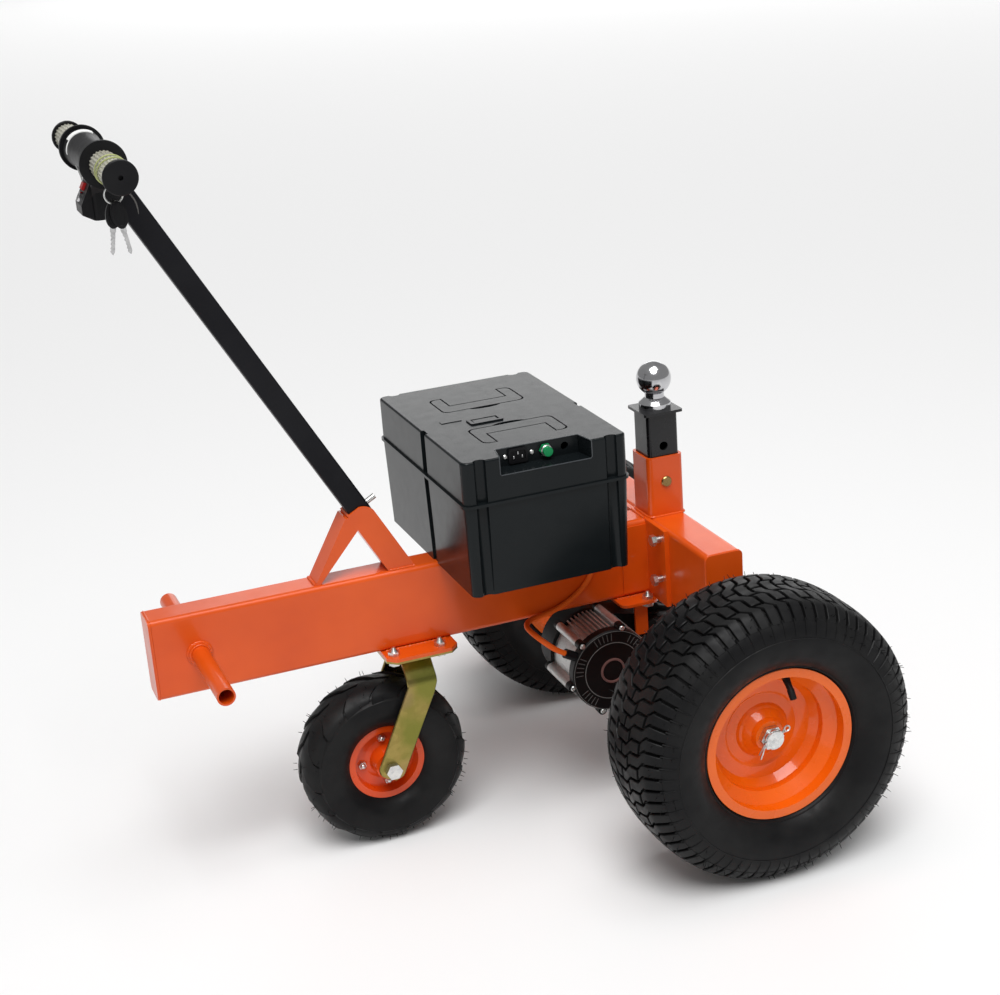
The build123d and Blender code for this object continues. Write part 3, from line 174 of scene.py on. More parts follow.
def bump(material, heights):
    """Chain bumps, given as (height, strength, distance in metres)."""
    normal = None
    for height, strength, distance in heights:
        inputs = {"Height": height, "Strength": strength, "Distance": distance}
        if normal:
            inputs["Normal"] = normal
        normal = node(material, "ShaderNodeBump", inputs).outputs["Normal"]
    to_shader(material, "Normal", normal)


def paint(name, base, deep, roughness, peel=0.12, tint_scale=9.0, patch_scale=26.0, dulling=0.09,
          peel_scale=420.0, wave_scale=34.0, **sockets):
    """Glossy coat over a base that varies a little, with orange peel and a few dull patches."""
    made = new_material(name, base, roughness, **sockets)
    tint = spread(made, noise(made, tint_scale), 0.35, 0.65)
    to_shader(made, "Base Color", mix(made, tint, deep, base))
    patches = noise(made, patch_scale, 5.0)
    to_shader(made, "Roughness", spread(made, patches, 0.4, 0.7, roughness, roughness + dulling))
    bump(made, [(noise(made, peel_scale, 2.0), peel, 0.0004), (noise(made, wave_scale, 1.0), 0.05, 0.002)])
    return made


def plastic(name, base, worn, roughness, grain=1500.0, depth=0.25, dust_scale=14.0, patch_scale=60.0,
            dulling=0.05, flow_scale=22.0):
    """Moulded plastic: fine grain, faint flow marks and a little dust."""
    made = new_material(name, base, roughness, Specular_IOR_Level=0.18)
    dust = spread(made, noise(made, dust_scale, 6.0), 0.45, 0.75)
    to_shader(made, "Base Color", mix(made, dust, base, worn))
    patches = noise(made, patch_scale, 4.0)
    to_shader(made, "Roughness", spread(made, patches, 0.35, 0.7, roughness, roughness + dulling))
    cells = node(made, "ShaderNodeTexVoronoi", {"Vector": coords(made), "Scale": grain}).outputs["Distance"]
    bump(made, [(cells, depth, 0.0002), (noise(made, flow_scale, 1.0), 0.05, 0.002)])
    return made


def metal(name, base, second, roughness, scale=260.0, stretch=(1.0, 1.0, 1.0), depth=0.12,
          mark_scale=900.0, dulling=0.14):
    """Plated or bare metal: two tones in crystals, and fine marks."""
    made = new_material(name, base, roughness, Metallic=1.0)
    cells = node(made, "ShaderNodeTexVoronoi", {"Vector": coords(made), "Scale": scale}).outputs["Color"]
    tone = node(made, "ShaderNodeSeparateColor", {"Color": cells}).outputs["Red"]
    cloud = noise(made, scale / 6, 4.0)
    both = node(made, "ShaderNodeMath", {0: tone, 1: cloud}, operation="MULTIPLY").outputs[0]
    to_shader(made, "Base Color", mix(made, spread(made, both, 0.1, 0.6), base, second))
    marks = noise(made, mark_scale, 3.0, stretch)
    to_shader(made, "Roughness", spread(made, marks, 0.3, 0.7, roughness, roughness + dulling))
    bump(made, [(marks, depth, 0.0002)])
    return made


def rubber(name, base, worn, roughness, cloud_scale=18.0, patch_scale=70.0, dulling=0.2,
           grain_scale=1300.0, flow_scale=90.0):
    """Rubber: a faint bloom, uneven gloss and a fine grain."""
    made = new_material(name, base, roughness, Specular_IOR_Level=0.15)
    bloom = spread(made, noise(made, cloud_scale, 5.0), 0.4, 0.7)
    to_shader(made, "Base Color", mix(made, bloom, base, worn))
    patches = noise(made, patch_scale, 4.0)
    to_shader(made, "Roughness", spread(made, patches, 0.35, 0.7, roughness, roughness + dulling))
    bump(made, [(noise(made, grain_scale, 3.0), 0.25, 0.0003), (noise(made, flow_scale, 2.0), 0.12, 0.0008)])
    return made


orange = paint("orange_paint", (0.72, 0.090, 0.004), (0.64, 0.072, 0.003), 0.32,
               Coat_Weight=0.35, Coat_Roughness=0.08, Specular_IOR_Level=0.30)
rim_orange = paint("rim_paint", (0.87, 0.140, 0.003), (0.79, 0.115, 0.001), 0.26,
                   Coat_Weight=0.5, Coat_Roughness=0.05, Specular_IOR_Level=0.25)
caster_orange = paint("caster_rim_paint", (0.74, 0.070, 0.004), (0.66, 0.055, 0.002), 0.26,
                      Coat_Weight=0.5, Coat_Roughness=0.06, Specular_IOR_Level=0.25)
black_paint = paint("black_paint", (0.005, 0.005, 0.006), (0.009, 0.009, 0.010), 0.26,
                    Coat_Weight=0.3, Coat_Roughness=0.08, Specular_IOR_Level=0.25)
handle_paint = paint("handle_paint", (0.005, 0.005, 0.007), (0.009, 0.009, 0.011), 0.42,
                     peel=0.3, Specular_IOR_Level=0.15)
gear_paint = paint("gear_case_paint", (0.006, 0.006, 0.006), (0.012, 0.011, 0.010), 0.45,
                   peel=0.35, Specular_IOR_Level=0.15)
chrome = metal("chrome", (0.58, 0.58, 0.59), (0.50, 0.50, 0.52), 0.07, scale=90.0, depth=0.02)
zinc = metal("bright_zinc", (0.74, 0.74, 0.72), (0.55, 0.56, 0.56), 0.24)
steel = metal("steel", (0.66, 0.66, 0.66), (0.50, 0.50, 0.50), 0.30, stretch=(1.0, 12.0, 1.0))
aluminium = metal("cast_aluminium", (0.62, 0.62, 0.61), (0.50, 0.50, 0.49), 0.42, scale=500.0, depth=0.5)
box_plastic = plastic("box_plastic", (0.006, 0.008, 0.009), (0.008, 0.010, 0.011), 0.20, depth=0.08)
black_plastic = plastic("black_plastic", (0.005, 0.005, 0.006), (0.010, 0.010, 0.011), 0.38, grain=1900.0)
cover_plastic = plastic("cover_plastic", (0.004, 0.003, 0.003), (0.008, 0.006, 0.006), 0.40, grain=1200.0)
red_plastic = plastic("red_plastic", (0.42, 0.012, 0.012), (0.36, 0.010, 0.010), 0.22, depth=0.05)
green_plastic = plastic("green_plastic", (0.008, 0.26, 0.085), (0.006, 0.20, 0.06), 0.25, depth=0.05)
# A pale grey for thin lines and edges; on the handle's coped neck its paleness is a painted highlight
pale_grey = plastic("pale_grey", (0.12, 0.115, 0.11), (0.20, 0.19, 0.18), 0.45, depth=0.1)
ring_brown = plastic("ring_brown", (0.120, 0.052, 0.046), (0.16, 0.080, 0.072), 0.42, depth=0.1)
# A paler plastic for the charge recess's bead: a painted highlight along its edges
recess_highlight_plastic = plastic("recess_highlight_plastic", (0.050, 0.055, 0.060), (0.075, 0.080, 0.085), 0.25, depth=0.05)
strip_white = plastic("strip_white", (0.80, 0.80, 0.79), (0.70, 0.70, 0.69), 0.40, depth=0.05)
band_green = plastic("band_green", (0.42, 0.45, 0.20), (0.32, 0.36, 0.13), 0.50, depth=0.1)
tyre_rubber = rubber("tyre_rubber", (0.006, 0.006, 0.0065), (0.012, 0.012, 0.012), 0.36)
cable_rubber = rubber("cable_rubber", (0.82, 0.13, 0.012), (0.74, 0.10, 0.010), 0.38)
stem_rubber = rubber("stem_rubber", (0.008, 0.008, 0.009), (0.016, 0.016, 0.017), 0.36)

# Yellow zinc: gold, with green and rose where the film is thicker
film_green = (0.21, 0.205, 0.045)
film_rose = (0.38, 0.22, 0.16)
yellow_zinc = metal("yellow_zinc", (0.36, 0.275, 0.085), (0.27, 0.205, 0.060), 0.20, scale=120.0,
                    stretch=(1.0, 1.0, 6.0))
film = spread(yellow_zinc, noise(yellow_zinc, 16.0, 3.0), 0.42, 0.62)
greenish = mix(yellow_zinc, film, colour_so_far(yellow_zinc), film_green)
rose = spread(yellow_zinc, noise(yellow_zinc, 11.0, 2.0, (1.0, 2.0, 1.0)), 0.55, 0.72, 0.0, 0.6)
to_shader(yellow_zinc, "Base Color", mix(yellow_zinc, rose, greenish, film_rose))

# Grips: clear ribbed plastic, a little yellow
grip_shade = (0.60, 0.58, 0.47)
grip_light = (0.80, 0.79, 0.69)
grip_plastic = new_material("grip_plastic", (0.74, 0.72, 0.60), 0.30, Transmission_Weight=0.35, IOR=1.45,
                            Coat_Weight=0.3, Coat_Roughness=0.2)
grip_cloud = spread(grip_plastic, noise(grip_plastic, 40.0), 0.35, 0.65)
to_shader(grip_plastic, "Base Color", mix(grip_plastic, grip_cloud, grip_shade, grip_light))
to_shader(grip_plastic, "Roughness", spread(grip_plastic, noise(grip_plastic, 160.0), 0.3, 0.7, 0.22, 0.42))
bump(grip_plastic, [(noise(grip_plastic, 800.0), 0.1, 0.0002)])

# Bolts: bright zinc, but the hitch pin, which stands over the beam, is plated bronze-yellow
pin_bronze = (0.36, 0.25, 0.10)
pin_from, pin_to = beam_top + 0.010, beam_top + 0.012
bolt_zinc = metal("bolt_zinc", (0.74, 0.74, 0.72), (0.55, 0.56, 0.56), 0.24)
height = node(bolt_zinc, "ShaderNodeSeparateXYZ", {"Vector": coords(bolt_zinc)}).outputs["Z"]
pin_mask = spread(bolt_zinc, height, pin_from, pin_to)
to_shader(bolt_zinc, "Base Color", mix(bolt_zinc, pin_mask, colour_so_far(bolt_zinc), pin_bronze))

finishes = {
    orange: ["main_beam", "caster_mount", "push_bar", "beam_flange", "cross_member", "end_caps",
             "hitch_receiver", "handle_socket", "handle_brace", "axle_bracket"],
    rim_orange: ["left_rim", "right_rim"],
    caster_orange: ["caster_rim"],
    black_paint: ["hitch_post"],
    handle_paint: ["handle_tube", "handlebar"],
    gear_paint: ["transaxle"],
    chrome: ["hitch_ball", "key_lock"],
    bolt_zinc: ["frame_bolts"],
    zinc: ["handle_pin", "caster_axle", "left_shaft", "right_shaft"],
    steel: ["keys"],
    yellow_zinc: ["caster_fork", "caster_plate"],
    box_plastic: ["battery_case", "battery_lid", "lid_handles"],
    black_plastic: ["throttle_housing", "switch_box", "motor_gland", "charge_inlet", "grip_ends",
                    "batteries"],
    cover_plastic: ["motor_cover"],
    grip_plastic: ["grips"],
    red_plastic: ["power_rocker"],
    green_plastic: ["breaker_button"],
    aluminium: ["motor_housing"],
    cable_rubber: ["motor_cable"],
    tyre_rubber: ["left_tyre", "right_tyre", "caster_tyre"],
}
for material, names in finishes.items():
    for name in names:
        nodes[name].data.materials.clear()
        nodes[name].data.materials.append(material)

# Motor cable: from the gland round the beam's lower edge, up its face and into the case's floor
cable_diameter = 0.008
cable_points = [
    (0.09365, -0.0960, 0.26125),
    (0.08326, -0.0960, 0.26725),
    (axle_x - 0.2045, -0.0940, 0.2775),
    (axle_x - 0.2135, -0.0860, 0.2855),
    (axle_x - 0.2195, -0.0730, 0.2910),
    (axle_x - 0.2215, -0.0580, 0.2935),
    (axle_x - 0.2180, -0.0440, 0.2942),
    (axle_x - 0.2085, -0.0340, 0.2942),
    (axle_x - 0.1950, -0.0305, 0.2950),
    (axle_x - 0.1780, -0.0300, 0.2970),
    (axle_x - 0.1570, -0.0300, 0.3030),
    (axle_x - 0.1350, -0.0300, 0.3140),
    (axle_x - 0.1165, -0.0300, 0.3290),
    (axle_x - 0.1060, -0.0303, 0.3465),
    (axle_x - 0.1040, -0.0320, 0.3645),
    (axle_x - 0.1090, -0.0355, 0.3810),
    (axle_x - 0.1130, -0.0375, 0.3950),
    (axle_x - 0.1130, -0.0375, beam_top),
]
cable_curve = bpy.data.curves.new("power_cable", "CURVE")
cable_curve.dimensions = "3D"
cable_curve.bevel_depth = cable_diameter / 2
cable_curve.bevel_resolution = 4
cable_curve.resolution_u = 12
cable_line = cable_curve.splines.new("NURBS")
cable_line.points.add(len(cable_points) - 1)
for place, point in zip(cable_line.points, cable_points):
    place.co = (*point, 1.0)
cable_line.order_u = 3
cable_line.use_endpoint_u = True
cable = new_object("power_cable", cable_curve)
cable.data.materials.append(cable_rubber)
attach(cable, "chassis")
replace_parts(cable, "motor_cable")


def turns(count):
    """The angles of equal steps round a full turn."""
    return [math.tau * i / count for i in range(count)]


def around(centre, radius, angle, offset):
    """A point round an axis that runs to the left: at a radius and angle, and an offset along the axis."""
    return centre + Vector((radius * math.cos(angle), offset, radius * math.sin(angle)))


def rectangle(width, height):
    """The corners of a rectangle, from its lower left, counter-clockwise."""
    return [(0.0, 0.0), (width, 0.0), (width, height), (0.0, height)]


class Shape:
    """Collects the faces of small forms that join into one piece."""

    def __init__(self):
        self.points = []
        self.faces = []

    def add(self, points, faces):
        start = len(self.points)
        self.points += [Vector(point) for point in points]
        self.faces += [[start + corner for corner in face] for face in faces]

    def rings(self, rings, closed=False):
        """Join rings of equally many points into a skin, capped at both ends unless it closes on itself."""
        count = len(rings[0])
        points = [point for ring in rings for point in ring]
        faces = []
        for i in range(len(rings) if closed else len(rings) - 1):
            one = i * count
            two = (i + 1) % len(rings) * count
            for j in range(count):
                k = (j + 1) % count
                faces.append([one + j, one + k, two + k, two + j])
        if not closed:
            faces.append(list(range(count))[::-1])
            faces.append([len(points) - count + j for j in range(count)])
        self.add(points, faces)

    def lathe(self, origin, axis, profile, sides=32):
        """Turn (radius, height) points about an axis."""
        axis = Vector(axis).normalized()
        across = axis.orthogonal().normalized()
        other = axis.cross(across)
        rings = []
        for radius, height in profile:
            centre = Vector(origin) + axis * height
            rings.append([centre + (across * math.cos(turn) + other * math.sin(turn)) * radius
                          for turn in turns(sides)])
        self.rings(rings)

    def tube(self, points, radii, sides=8, closed=False):
        """A tube along a line of points, with one radius or one for each point."""
        points = [Vector(point) for point in points]
        if not hasattr(radii, "__len__"):
            radii = [radii] * len(points)
        side = None
        rings = []
        for i, (point, radius) in enumerate(zip(points, radii)):
            if closed:
                run = points[(i + 1) % len(points)] - points[i - 1]
            else:
                run = points[min(i + 1, len(points) - 1)] - points[max(i - 1, 0)]
            run.normalize()
            side = run.orthogonal() if side is None else side - run * side.dot(run)
            side.normalize()
            other = run.cross(side)
            rings.append([point + (side * math.cos(turn) + other * math.sin(turn)) * radius
                          for turn in turns(sides)])
        self.rings(rings, closed)

    def slab(self, origin, across, up, outline, thickness, round_off):
        """A flat plate from its outline, with its edges eased on the outer face."""
        out = across.cross(up).normalized()
        middle = sum((Vector(corner) for corner in outline), Vector((0.0, 0.0))) / len(outline)
        rings = []
        for height, inset in ((0.0, 0.0), (thickness - round_off, 0.0), (thickness, round_off)):
            ring = []
            for corner in outline:
                reach = Vector(corner) - middle
                flat = middle + reach - reach.normalized() * inset
                ring.append(Vector(origin) + across * flat.x + up * flat.y + out * height)
            rings.append(ring)
        self.rings(rings)

    def build(self, name, material, body, slot=None, sharp=35.0):
        """The piece itself, smooth up to an angle in degrees, which rides on a body."""
        mesh = bpy.data.meshes.new(name)
        mesh.from_pydata(self.points, [], self.faces)
        mesh.polygons.foreach_set("use_smooth", [True] * len(mesh.polygons))
        mesh.update()
        mesh.set_sharp_from_angle(angle=math.radians(sharp))
        mesh.materials.append(material)
        piece = new_object(name, mesh)
        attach(piece, body)
        return piece


class Section:
    """A tyre's outer section from the crown to the bead, followed by distance from the crown."""

    def __init__(self, centre, points):
        self.centre = Vector(centre)
        self.points = points
        self.lengths = [0.0]
        for (r0, y0), (r1, y1) in zip(points, points[1:]):
            self.lengths.append(self.lengths[-1] + math.hypot(r1 - r0, y1 - y0))

    def lean(self, k):
        """The outward normal at a point of the section."""
        if k == 0:
            return Vector((1.0, 0.0))
        low = self.points[k - 1]
        high = self.points[min(k + 1, len(self.points) - 1)]
        return Vector((high[1] - low[1], low[0] - high[0])).normalized()

    def at(self, along):
        """Radius, offset and outward normal at a signed distance from the crown."""
        side = -1.0 if along < 0 else 1.0
        rest = min(abs(along), self.lengths[-1] - 1e-6)
        i = next(k for k in range(len(self.lengths) - 1) if rest <= self.lengths[k + 1])
        share = (rest - self.lengths[i]) / (self.lengths[i + 1] - self.lengths[i])
        (r0, y0), (r1, y1) = self.points[i], self.points[i + 1]
        normal = self.lean(i).lerp(self.lean(i + 1), share).normalized()
        radius = r0 + (r1 - r0) * share
        offset = side * (y0 + (y1 - y0) * share)
        return radius, offset, Vector((normal.x, side * normal.y))

    def place(self, along, angle, height):
        """A point at a height over the section, turned by an angle about the wheel's axis."""
        radius, offset, normal = self.at(along)
        return around(self.centre, radius + normal.x * height, angle, offset + normal.y * height)


def arc_points(start, middle, end, count):
    """Points along the arc through three (radius, offset) points, without the last."""
    (ax, ay), (bx, by), (cx, cy) = start, middle, end
    a, b, c = ax * ax + ay * ay, bx * bx + by * by, cx * cx + cy * cy
    scale = 2 * (ax * (by - cy) + bx * (cy - ay) + cx * (ay - by))
    ox = (a * (by - cy) + b * (cy - ay) + c * (ay - by)) / scale
    oy = (a * (cx - bx) + b * (ax - cx) + c * (bx - ax)) / scale
    radius = math.hypot(ax - ox, ay - oy)
    first = math.atan2(ay - oy, ax - ox)
    turn = math.remainder(math.atan2(cy - oy, cx - ox) - first, math.tau)
    angles = [first + turn * i / count for i in range(count)]
    return [(ox + radius * math.cos(angle), oy + radius * math.sin(angle)) for angle in angles]


def tyre_section(radius, half_width, shoulder, tread_half, wall, bead):
    """The source's section as (radius, offset) points from the crown down to the bead's lip."""
    edge = radius * 0.975
    crown = (edge + 2 * radius) / 3
    shoulder_out = 0.87 * half_width
    lip, lip_out = bead
    points = arc_points((radius, 0.0), (crown, 0.7 * tread_half), (edge, tread_half), 10)
    points += [(edge + (shoulder - edge) * i / 4, tread_half + (shoulder_out - tread_half) * i / 4)
               for i in range(4)]
    points += arc_points((shoulder, shoulder_out), ((wall + shoulder) / 2, 0.975 * half_width),
                         (wall, half_width), 8)
    points += arc_points((wall, half_width), ((lip + wall) / 2, 0.94 * half_width), (lip, lip_out), 12)
    points.append((lip, lip_out))
    return points


def rim_seat(lip, seat, half):
    """The rest of a tyre's ring, round the rim's seat, as (radius, offset) points."""
    return [(lip, half), (seat, half), (seat, -half), (lip, -half)]


def block(shape, section, low, high, start, end, depth, ease, columns=2, tilt=0.0, step=8 * millimetre):
    """A tread block between two groove lines low(s) and high(s), its low edge sunk by a tilt."""
    knots = sorted({start, end, *[k for k in low.knots if start < k < end]})
    fine = []
    for one, two in zip(knots, knots[1:]):
        pieces = max(1, round(abs(two - one) / step))
        fine += [one + (two - one) * i / pieces for i in range(pieces)]
    inner = [(s, 0.0) for s in fine[1:]]
    rows = [(start, -depth), (start, -ease), (start + ease, 0.0), *inner,
            (end - ease, 0.0), (end, -ease), (end, -depth)]
    grid = []
    for s, row_height in rows:
        one, two = low(s), high(s)
        inset = ease / section.at(s)[0]
        line = [(one, -depth), (one, -ease)]
        line += [(one + inset + (two - one - 2 * inset) * k / columns, 0.0) for k in range(columns + 1)]
        line += [(two, -ease), (two, -depth)]
        grid.append([section.place(s, turn, min(row_height, height) - tilt * (two - turn) / (two - one))
                     for turn, height in line])
    count = len(grid[0])
    points = [point for line in grid for point in line]
    faces = [[i * count + j, i * count + j + 1, (i + 1) * count + j + 1, (i + 1) * count + j]
             for i in range(len(grid) - 1) for j in range(count - 1)]
    last = len(grid) - 1
    rim = list(range(count)) + [i * count + count - 1 for i in range(1, last + 1)]
    rim += [last * count + j for j in range(count - 2, -1, -1)]
    rim += [i * count for i in range(last - 1, 0, -1)]
    faces.append(rim[::-1])
    shape.add(points, faces)


class Groove:
    """A groove's edge: its angle at each distance from the crown, from (distance, share of a pitch)."""

    def __init__(self, table, pitch, turn, gap, section):
        self.table = table
        self.pitch = pitch
        self.turn = turn
        self.gap = gap
        self.section = section
        self.knots = sorted({side * s for s, _ in table for side in (1, -1)})

    def __call__(self, s):
        reach = abs(s)
        share = self.table[-1][1]
        for (s0, v0), (s1, v1) in zip(self.table, self.table[1:]):
            if reach <= s1:
                share = v0 + (v1 - v0) * (reach - s0) / (s1 - s0)
                break
        return (self.turn + share) * self.pitch + self.gap / self.section.at(s)[0]


def carcass(shape, section, depth, tread_end, seat, sides, count=30, fade=6 * millimetre):
    """The tyre under its blocks: the section lowered by the tread's depth, closed round the rim's seat."""
    outline = []
    for i in range(-count, count + 1):
        along = section.lengths[-1] * i / count
        lowered = depth * min(1.0, max(0.0, (tread_end - abs(along)) / fade))
        radius, offset, normal = section.at(along)
        outline.append((radius - normal.x * lowered, offset - normal.y * lowered))
    outline += seat
    shape.rings([[around(section.centre, radius, turn, offset) for radius, offset in outline]
                 for turn in turns(sides)], closed=True)


def hairs(shape, section, spots, count, length):
    """Thin rubber vents left by the mould, scattered along lines of the section and kept off the floor."""
    root = 0.5 * millimetre
    sway = 0.4 * millimetre
    twist = 0.012
    radii = [0.6 * millimetre, 0.5 * millimetre, 0.3 * millimetre]
    for i in range(count):
        along = random_source.choice(spots) * random_source.choice((1, -1))
        turn = math.tau * (i + random_source.random()) / count
        foot = section.place(along, turn, -root)
        tip = section.place(along, turn + random_source.uniform(-twist, twist),
                            length * random_source.uniform(0.5, 1.0))
        tip.z = max(tip.z, millimetre)
        middle = foot.lerp(tip, 0.5) + along_y * random_source.uniform(-1.0, 1.0) * sway
        shape.tube([foot, middle, tip], radii, sides=3)


# Rear tyres: a turf tread of interlocking zigzag blocks, with ribs over the shoulder and rings below them
random_source = random.Random(4)
rear_section = tyre_section(radius=0.203, half_width=0.0825, shoulder=0.185, tread_half=0.058,
                            wall=0.150, bead=(0.1085, 0.0585))
rear_seat = rim_seat(lip=0.1085, seat=0.0995, half=0.0545)
rear_grooves = 68
rear_table = [(0.0, 1.4), (0.012, 1.4), (0.024, 0.72), (0.044, 0.6), (0.054, 0.0), (0.090, 0.0)]
rear_depth = 6.0 * millimetre
rear_block_end = 0.083
rear_cuts = ((-0.018, 0.018), (-0.044, 0.0, 0.044))
rear_rings = ((0.106, 0.9 * millimetre), (0.158, 1.2 * millimetre))
rear_hair_spots = (0.066, 0.074, 0.083, 0.094)
rib_places = (0.079, 0.088, 0.096, 0.103)
rib_radii = [1.1 * millimetre, 1.1 * millimetre, 0.9 * millimetre, 0.4 * millimetre]
rib_rise = 0.1 * millimetre
groove_half = 2.2 * millimetre
block_ease = 0.8 * millimetre
for name, side in (("left", 1), ("right", -1)):
    section = Section((axle_x, side * track_half, axle_z), rear_section)
    tread = Shape()
    carcass(tread, section, rear_depth, rear_block_end, rear_seat, sides=2 * rear_grooves)
    pitch = math.tau / rear_grooves
    for band in range(rear_grooves):
        low = Groove(rear_table, pitch, band, groove_half, section)
        high = Groove(rear_table, pitch, band + 1, -groove_half, section)
        cuts = rear_cuts[band % 2]
        edges = [-rear_block_end, *cuts, rear_block_end]
        for start, end in zip(edges, edges[1:]):
            start += groove_half if start in cuts else 0.0
            end -= groove_half if end in cuts else 0.0
            block(tread, section, low, high, start, end, rear_depth + block_ease, block_ease)
        for way in (1, -1):
            rib = [section.place(way * along, band * pitch, rib_rise) for along in rib_places]
            tread.tube(rib, rib_radii, sides=5)
    for way in (1, -1):
        for along, radius in rear_rings:
            ring = [section.place(way * along, turn, 0.0) for turn in turns(96)]
            tread.tube(ring, radius, sides=6, closed=True)
    hairs(tread, section, rear_hair_spots, count=260, length=8 * millimetre)
    tyre_piece = tread.build(f"{name}_tyre_tread", tyre_rubber, f"{name}_wheel", "tyre")
    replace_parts(tyre_piece, f"{name}_tyre")

# Caster tyre: broad lugs that sweep back over the shoulder
caster_section = Section(caster_axle, tyre_section(radius=0.122, half_width=0.0425, shoulder=0.112,
                                                   tread_half=0.027, wall=0.092, bead=(0.0565, 0.0265)))
caster_seat = rim_seat(lip=0.0565, seat=0.0505, half=0.0225)
caster_lugs = 16
caster_table = [(0.0, 0.0), (0.010, 0.20), (0.024, 0.62), (0.036, 0.86), (0.050, 0.98), (0.060, 1.0)]
caster_depth = 5.0 * millimetre
caster_tilt = 3.0 * millimetre
caster_gap_half = 1.7 * millimetre
caster_middle_half = 1.2 * millimetre
caster_block_end = 0.050
caster_hair_spots = (0.02, 0.032, 0.044)
caster_tread = Shape()
carcass(caster_tread, caster_section, caster_depth, caster_block_end, caster_seat, sides=100)
pitch = math.tau / caster_lugs
for lug in range(caster_lugs):
    for way, shift in ((1, 0.0), (-1, 0.5)):
        low = Groove(caster_table, pitch, lug + shift, caster_gap_half, caster_section)
        high = Groove(caster_table, pitch, lug + shift + 1, -caster_gap_half, caster_section)
        near, far = sorted((way * caster_middle_half, way * caster_block_end))
        block(caster_tread, caster_section, low, high, near, far, caster_depth, block_ease, columns=4,
              tilt=caster_tilt)
hairs(caster_tread, caster_section, caster_hair_spots, count=110, length=7 * millimetre)
caster_piece = caster_tread.build("caster_tyre_tread", tyre_rubber, "caster_wheel", "tyre")
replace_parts(caster_piece, "caster_tyre")

# Valve stems: bent rubber through each rear rim's slope, with a cap
stem_bow = 2.5 * millimetre
stem_stations = ((0.0, 6.5), (0.2, 5.4), (0.4, 4.6), (0.6, 4.2), (0.62, 4.9), (0.8, 4.8), (0.98, 4.6),
                 (1.0, 3.2))
for name, side in (("left", 1), ("right", -1)):
    stem = Shape()
    foot = Vector((axle_x + 0.0223, side * 0.3555, axle_z + 0.0890))
    tip = Vector((axle_x + 0.0245, side * 0.3800, axle_z + 0.0570))
    path = [foot.lerp(tip, share) + along_y * side * stem_bow * math.sin(math.pi * share)
            for share, _ in stem_stations]
    stem.tube(path, [radius * millimetre for _, radius in stem_stations], sides=14)
    stem.build(f"{name}_valve_stem", stem_rubber, f"{name}_wheel")

# Cotter pins: through the castle nuts, one leg folded back and the other out
pin_y = track_half + 0.0435
pin_turn = math.radians(30)
pin_wire = 1.25 * millimetre
eye_wire = 1.3 * millimetre
eye_radius = 4 * millimetre
lean = Vector((math.cos(pin_turn), 0.0, math.sin(pin_turn)))
across = Vector((-lean.z, 0.0, lean.x))
for name, side in (("left", 1), ("right", -1)):
    pin = Shape()
    middle = Vector((axle_x, side * pin_y, axle_z))
    for leg, fold in ((1, along_y * side * 0.007), (-1, across * -0.010)):
        shift = across * leg * eye_wire
        path = [middle + lean * 0.021 + shift * 2.6,
                middle + lean * 0.017 + shift,
                middle - lean * 0.018 + shift,
                middle - lean * 0.022 + shift + fold * 0.4,
                middle - lean * 0.030 + shift + fold]
        pin.tube(path, pin_wire, sides=8)
    eye = [middle + lean * 0.023 + (across * math.cos(turn) + lean * math.sin(turn)) * eye_radius
           for turn in turns(14)]
    pin.tube(eye, eye_wire, sides=8, closed=True)
    pin.build(f"{name}_cotter_pin", zinc, f"{name}_wheel")

# Caster rim nuts: four dome nuts on each face of the dish
dish_y = 0.012
nut_orbit = 0.034
nut_flats = [(0.0062, -0.001), (0.0062, 0.0044), (0.0056, 0.0052)]
nut_dome = [(0.0044, 0.005), (0.0042, 0.0072), (0.0030, 0.0090), (0.0010, 0.0098)]
rim_nuts = Shape()
for side in (1, -1):
    for turn in (4.0, 94.0, 184.0, 274.0):
        foot = around(caster_axle, nut_orbit, math.radians(turn), side * dish_y)
        rim_nuts.lathe(foot, along_y * side, nut_flats, sides=6)
        rim_nuts.lathe(foot, along_y * side, nut_dome, sides=16)
rim_nuts.build("caster_rim_nuts", zinc, "caster_wheel")

# Caster fork: the strap of the source, with eased edges and an unbroken bend between head and legs
strap_half = 2.5 * millimetre
strap_ease = 1.2 * millimetre
leg_y = 0.052
leg_half = 0.020
leg_lean = math.atan2(0.055, 0.124)
leg_up = Vector((math.sin(leg_lean), 0.0, math.cos(leg_lean)))
leg_side = Vector((math.cos(leg_lean), 0.0, -math.sin(leg_lean)))
leg_foot = caster_axle - leg_up * 0.014
foot_round = 0.013
foot_chamfer = 0.009
head_half = 0.022
bend_start_z = 0.240
bend_rise = 0.012
slope = math.atan2(0.0315, 0.0255)
upright = math.pi / 2 - slope
crown_y, crown_z = 0.0300, 0.2720
crown_inward, crown_rise = 0.0095, 0.0055


def strap_ring(centre, across, back, front, normal):
    """An eased rectangle: from back to front across the strap, and as thick as it is."""
    flat = strap_half - strap_ease
    edges = ((back, -flat), (back + strap_ease, -strap_half), (front - strap_ease, -strap_half),
             (front, -flat), (front, flat), (front - strap_ease, strap_half),
             (back + strap_ease, strap_half), (back, flat))
    return [centre + across * wide + normal * high for wide, high in edges]


def head_ring(y, z, turn):
    """A ring of the strap over the kingpin, its face turned by an angle from upright."""
    normal = Vector((0.0, -math.cos(turn), math.sin(turn)))
    return strap_ring(Vector((kingpin_x, y, z)), along_x, -head_half, head_half, normal)


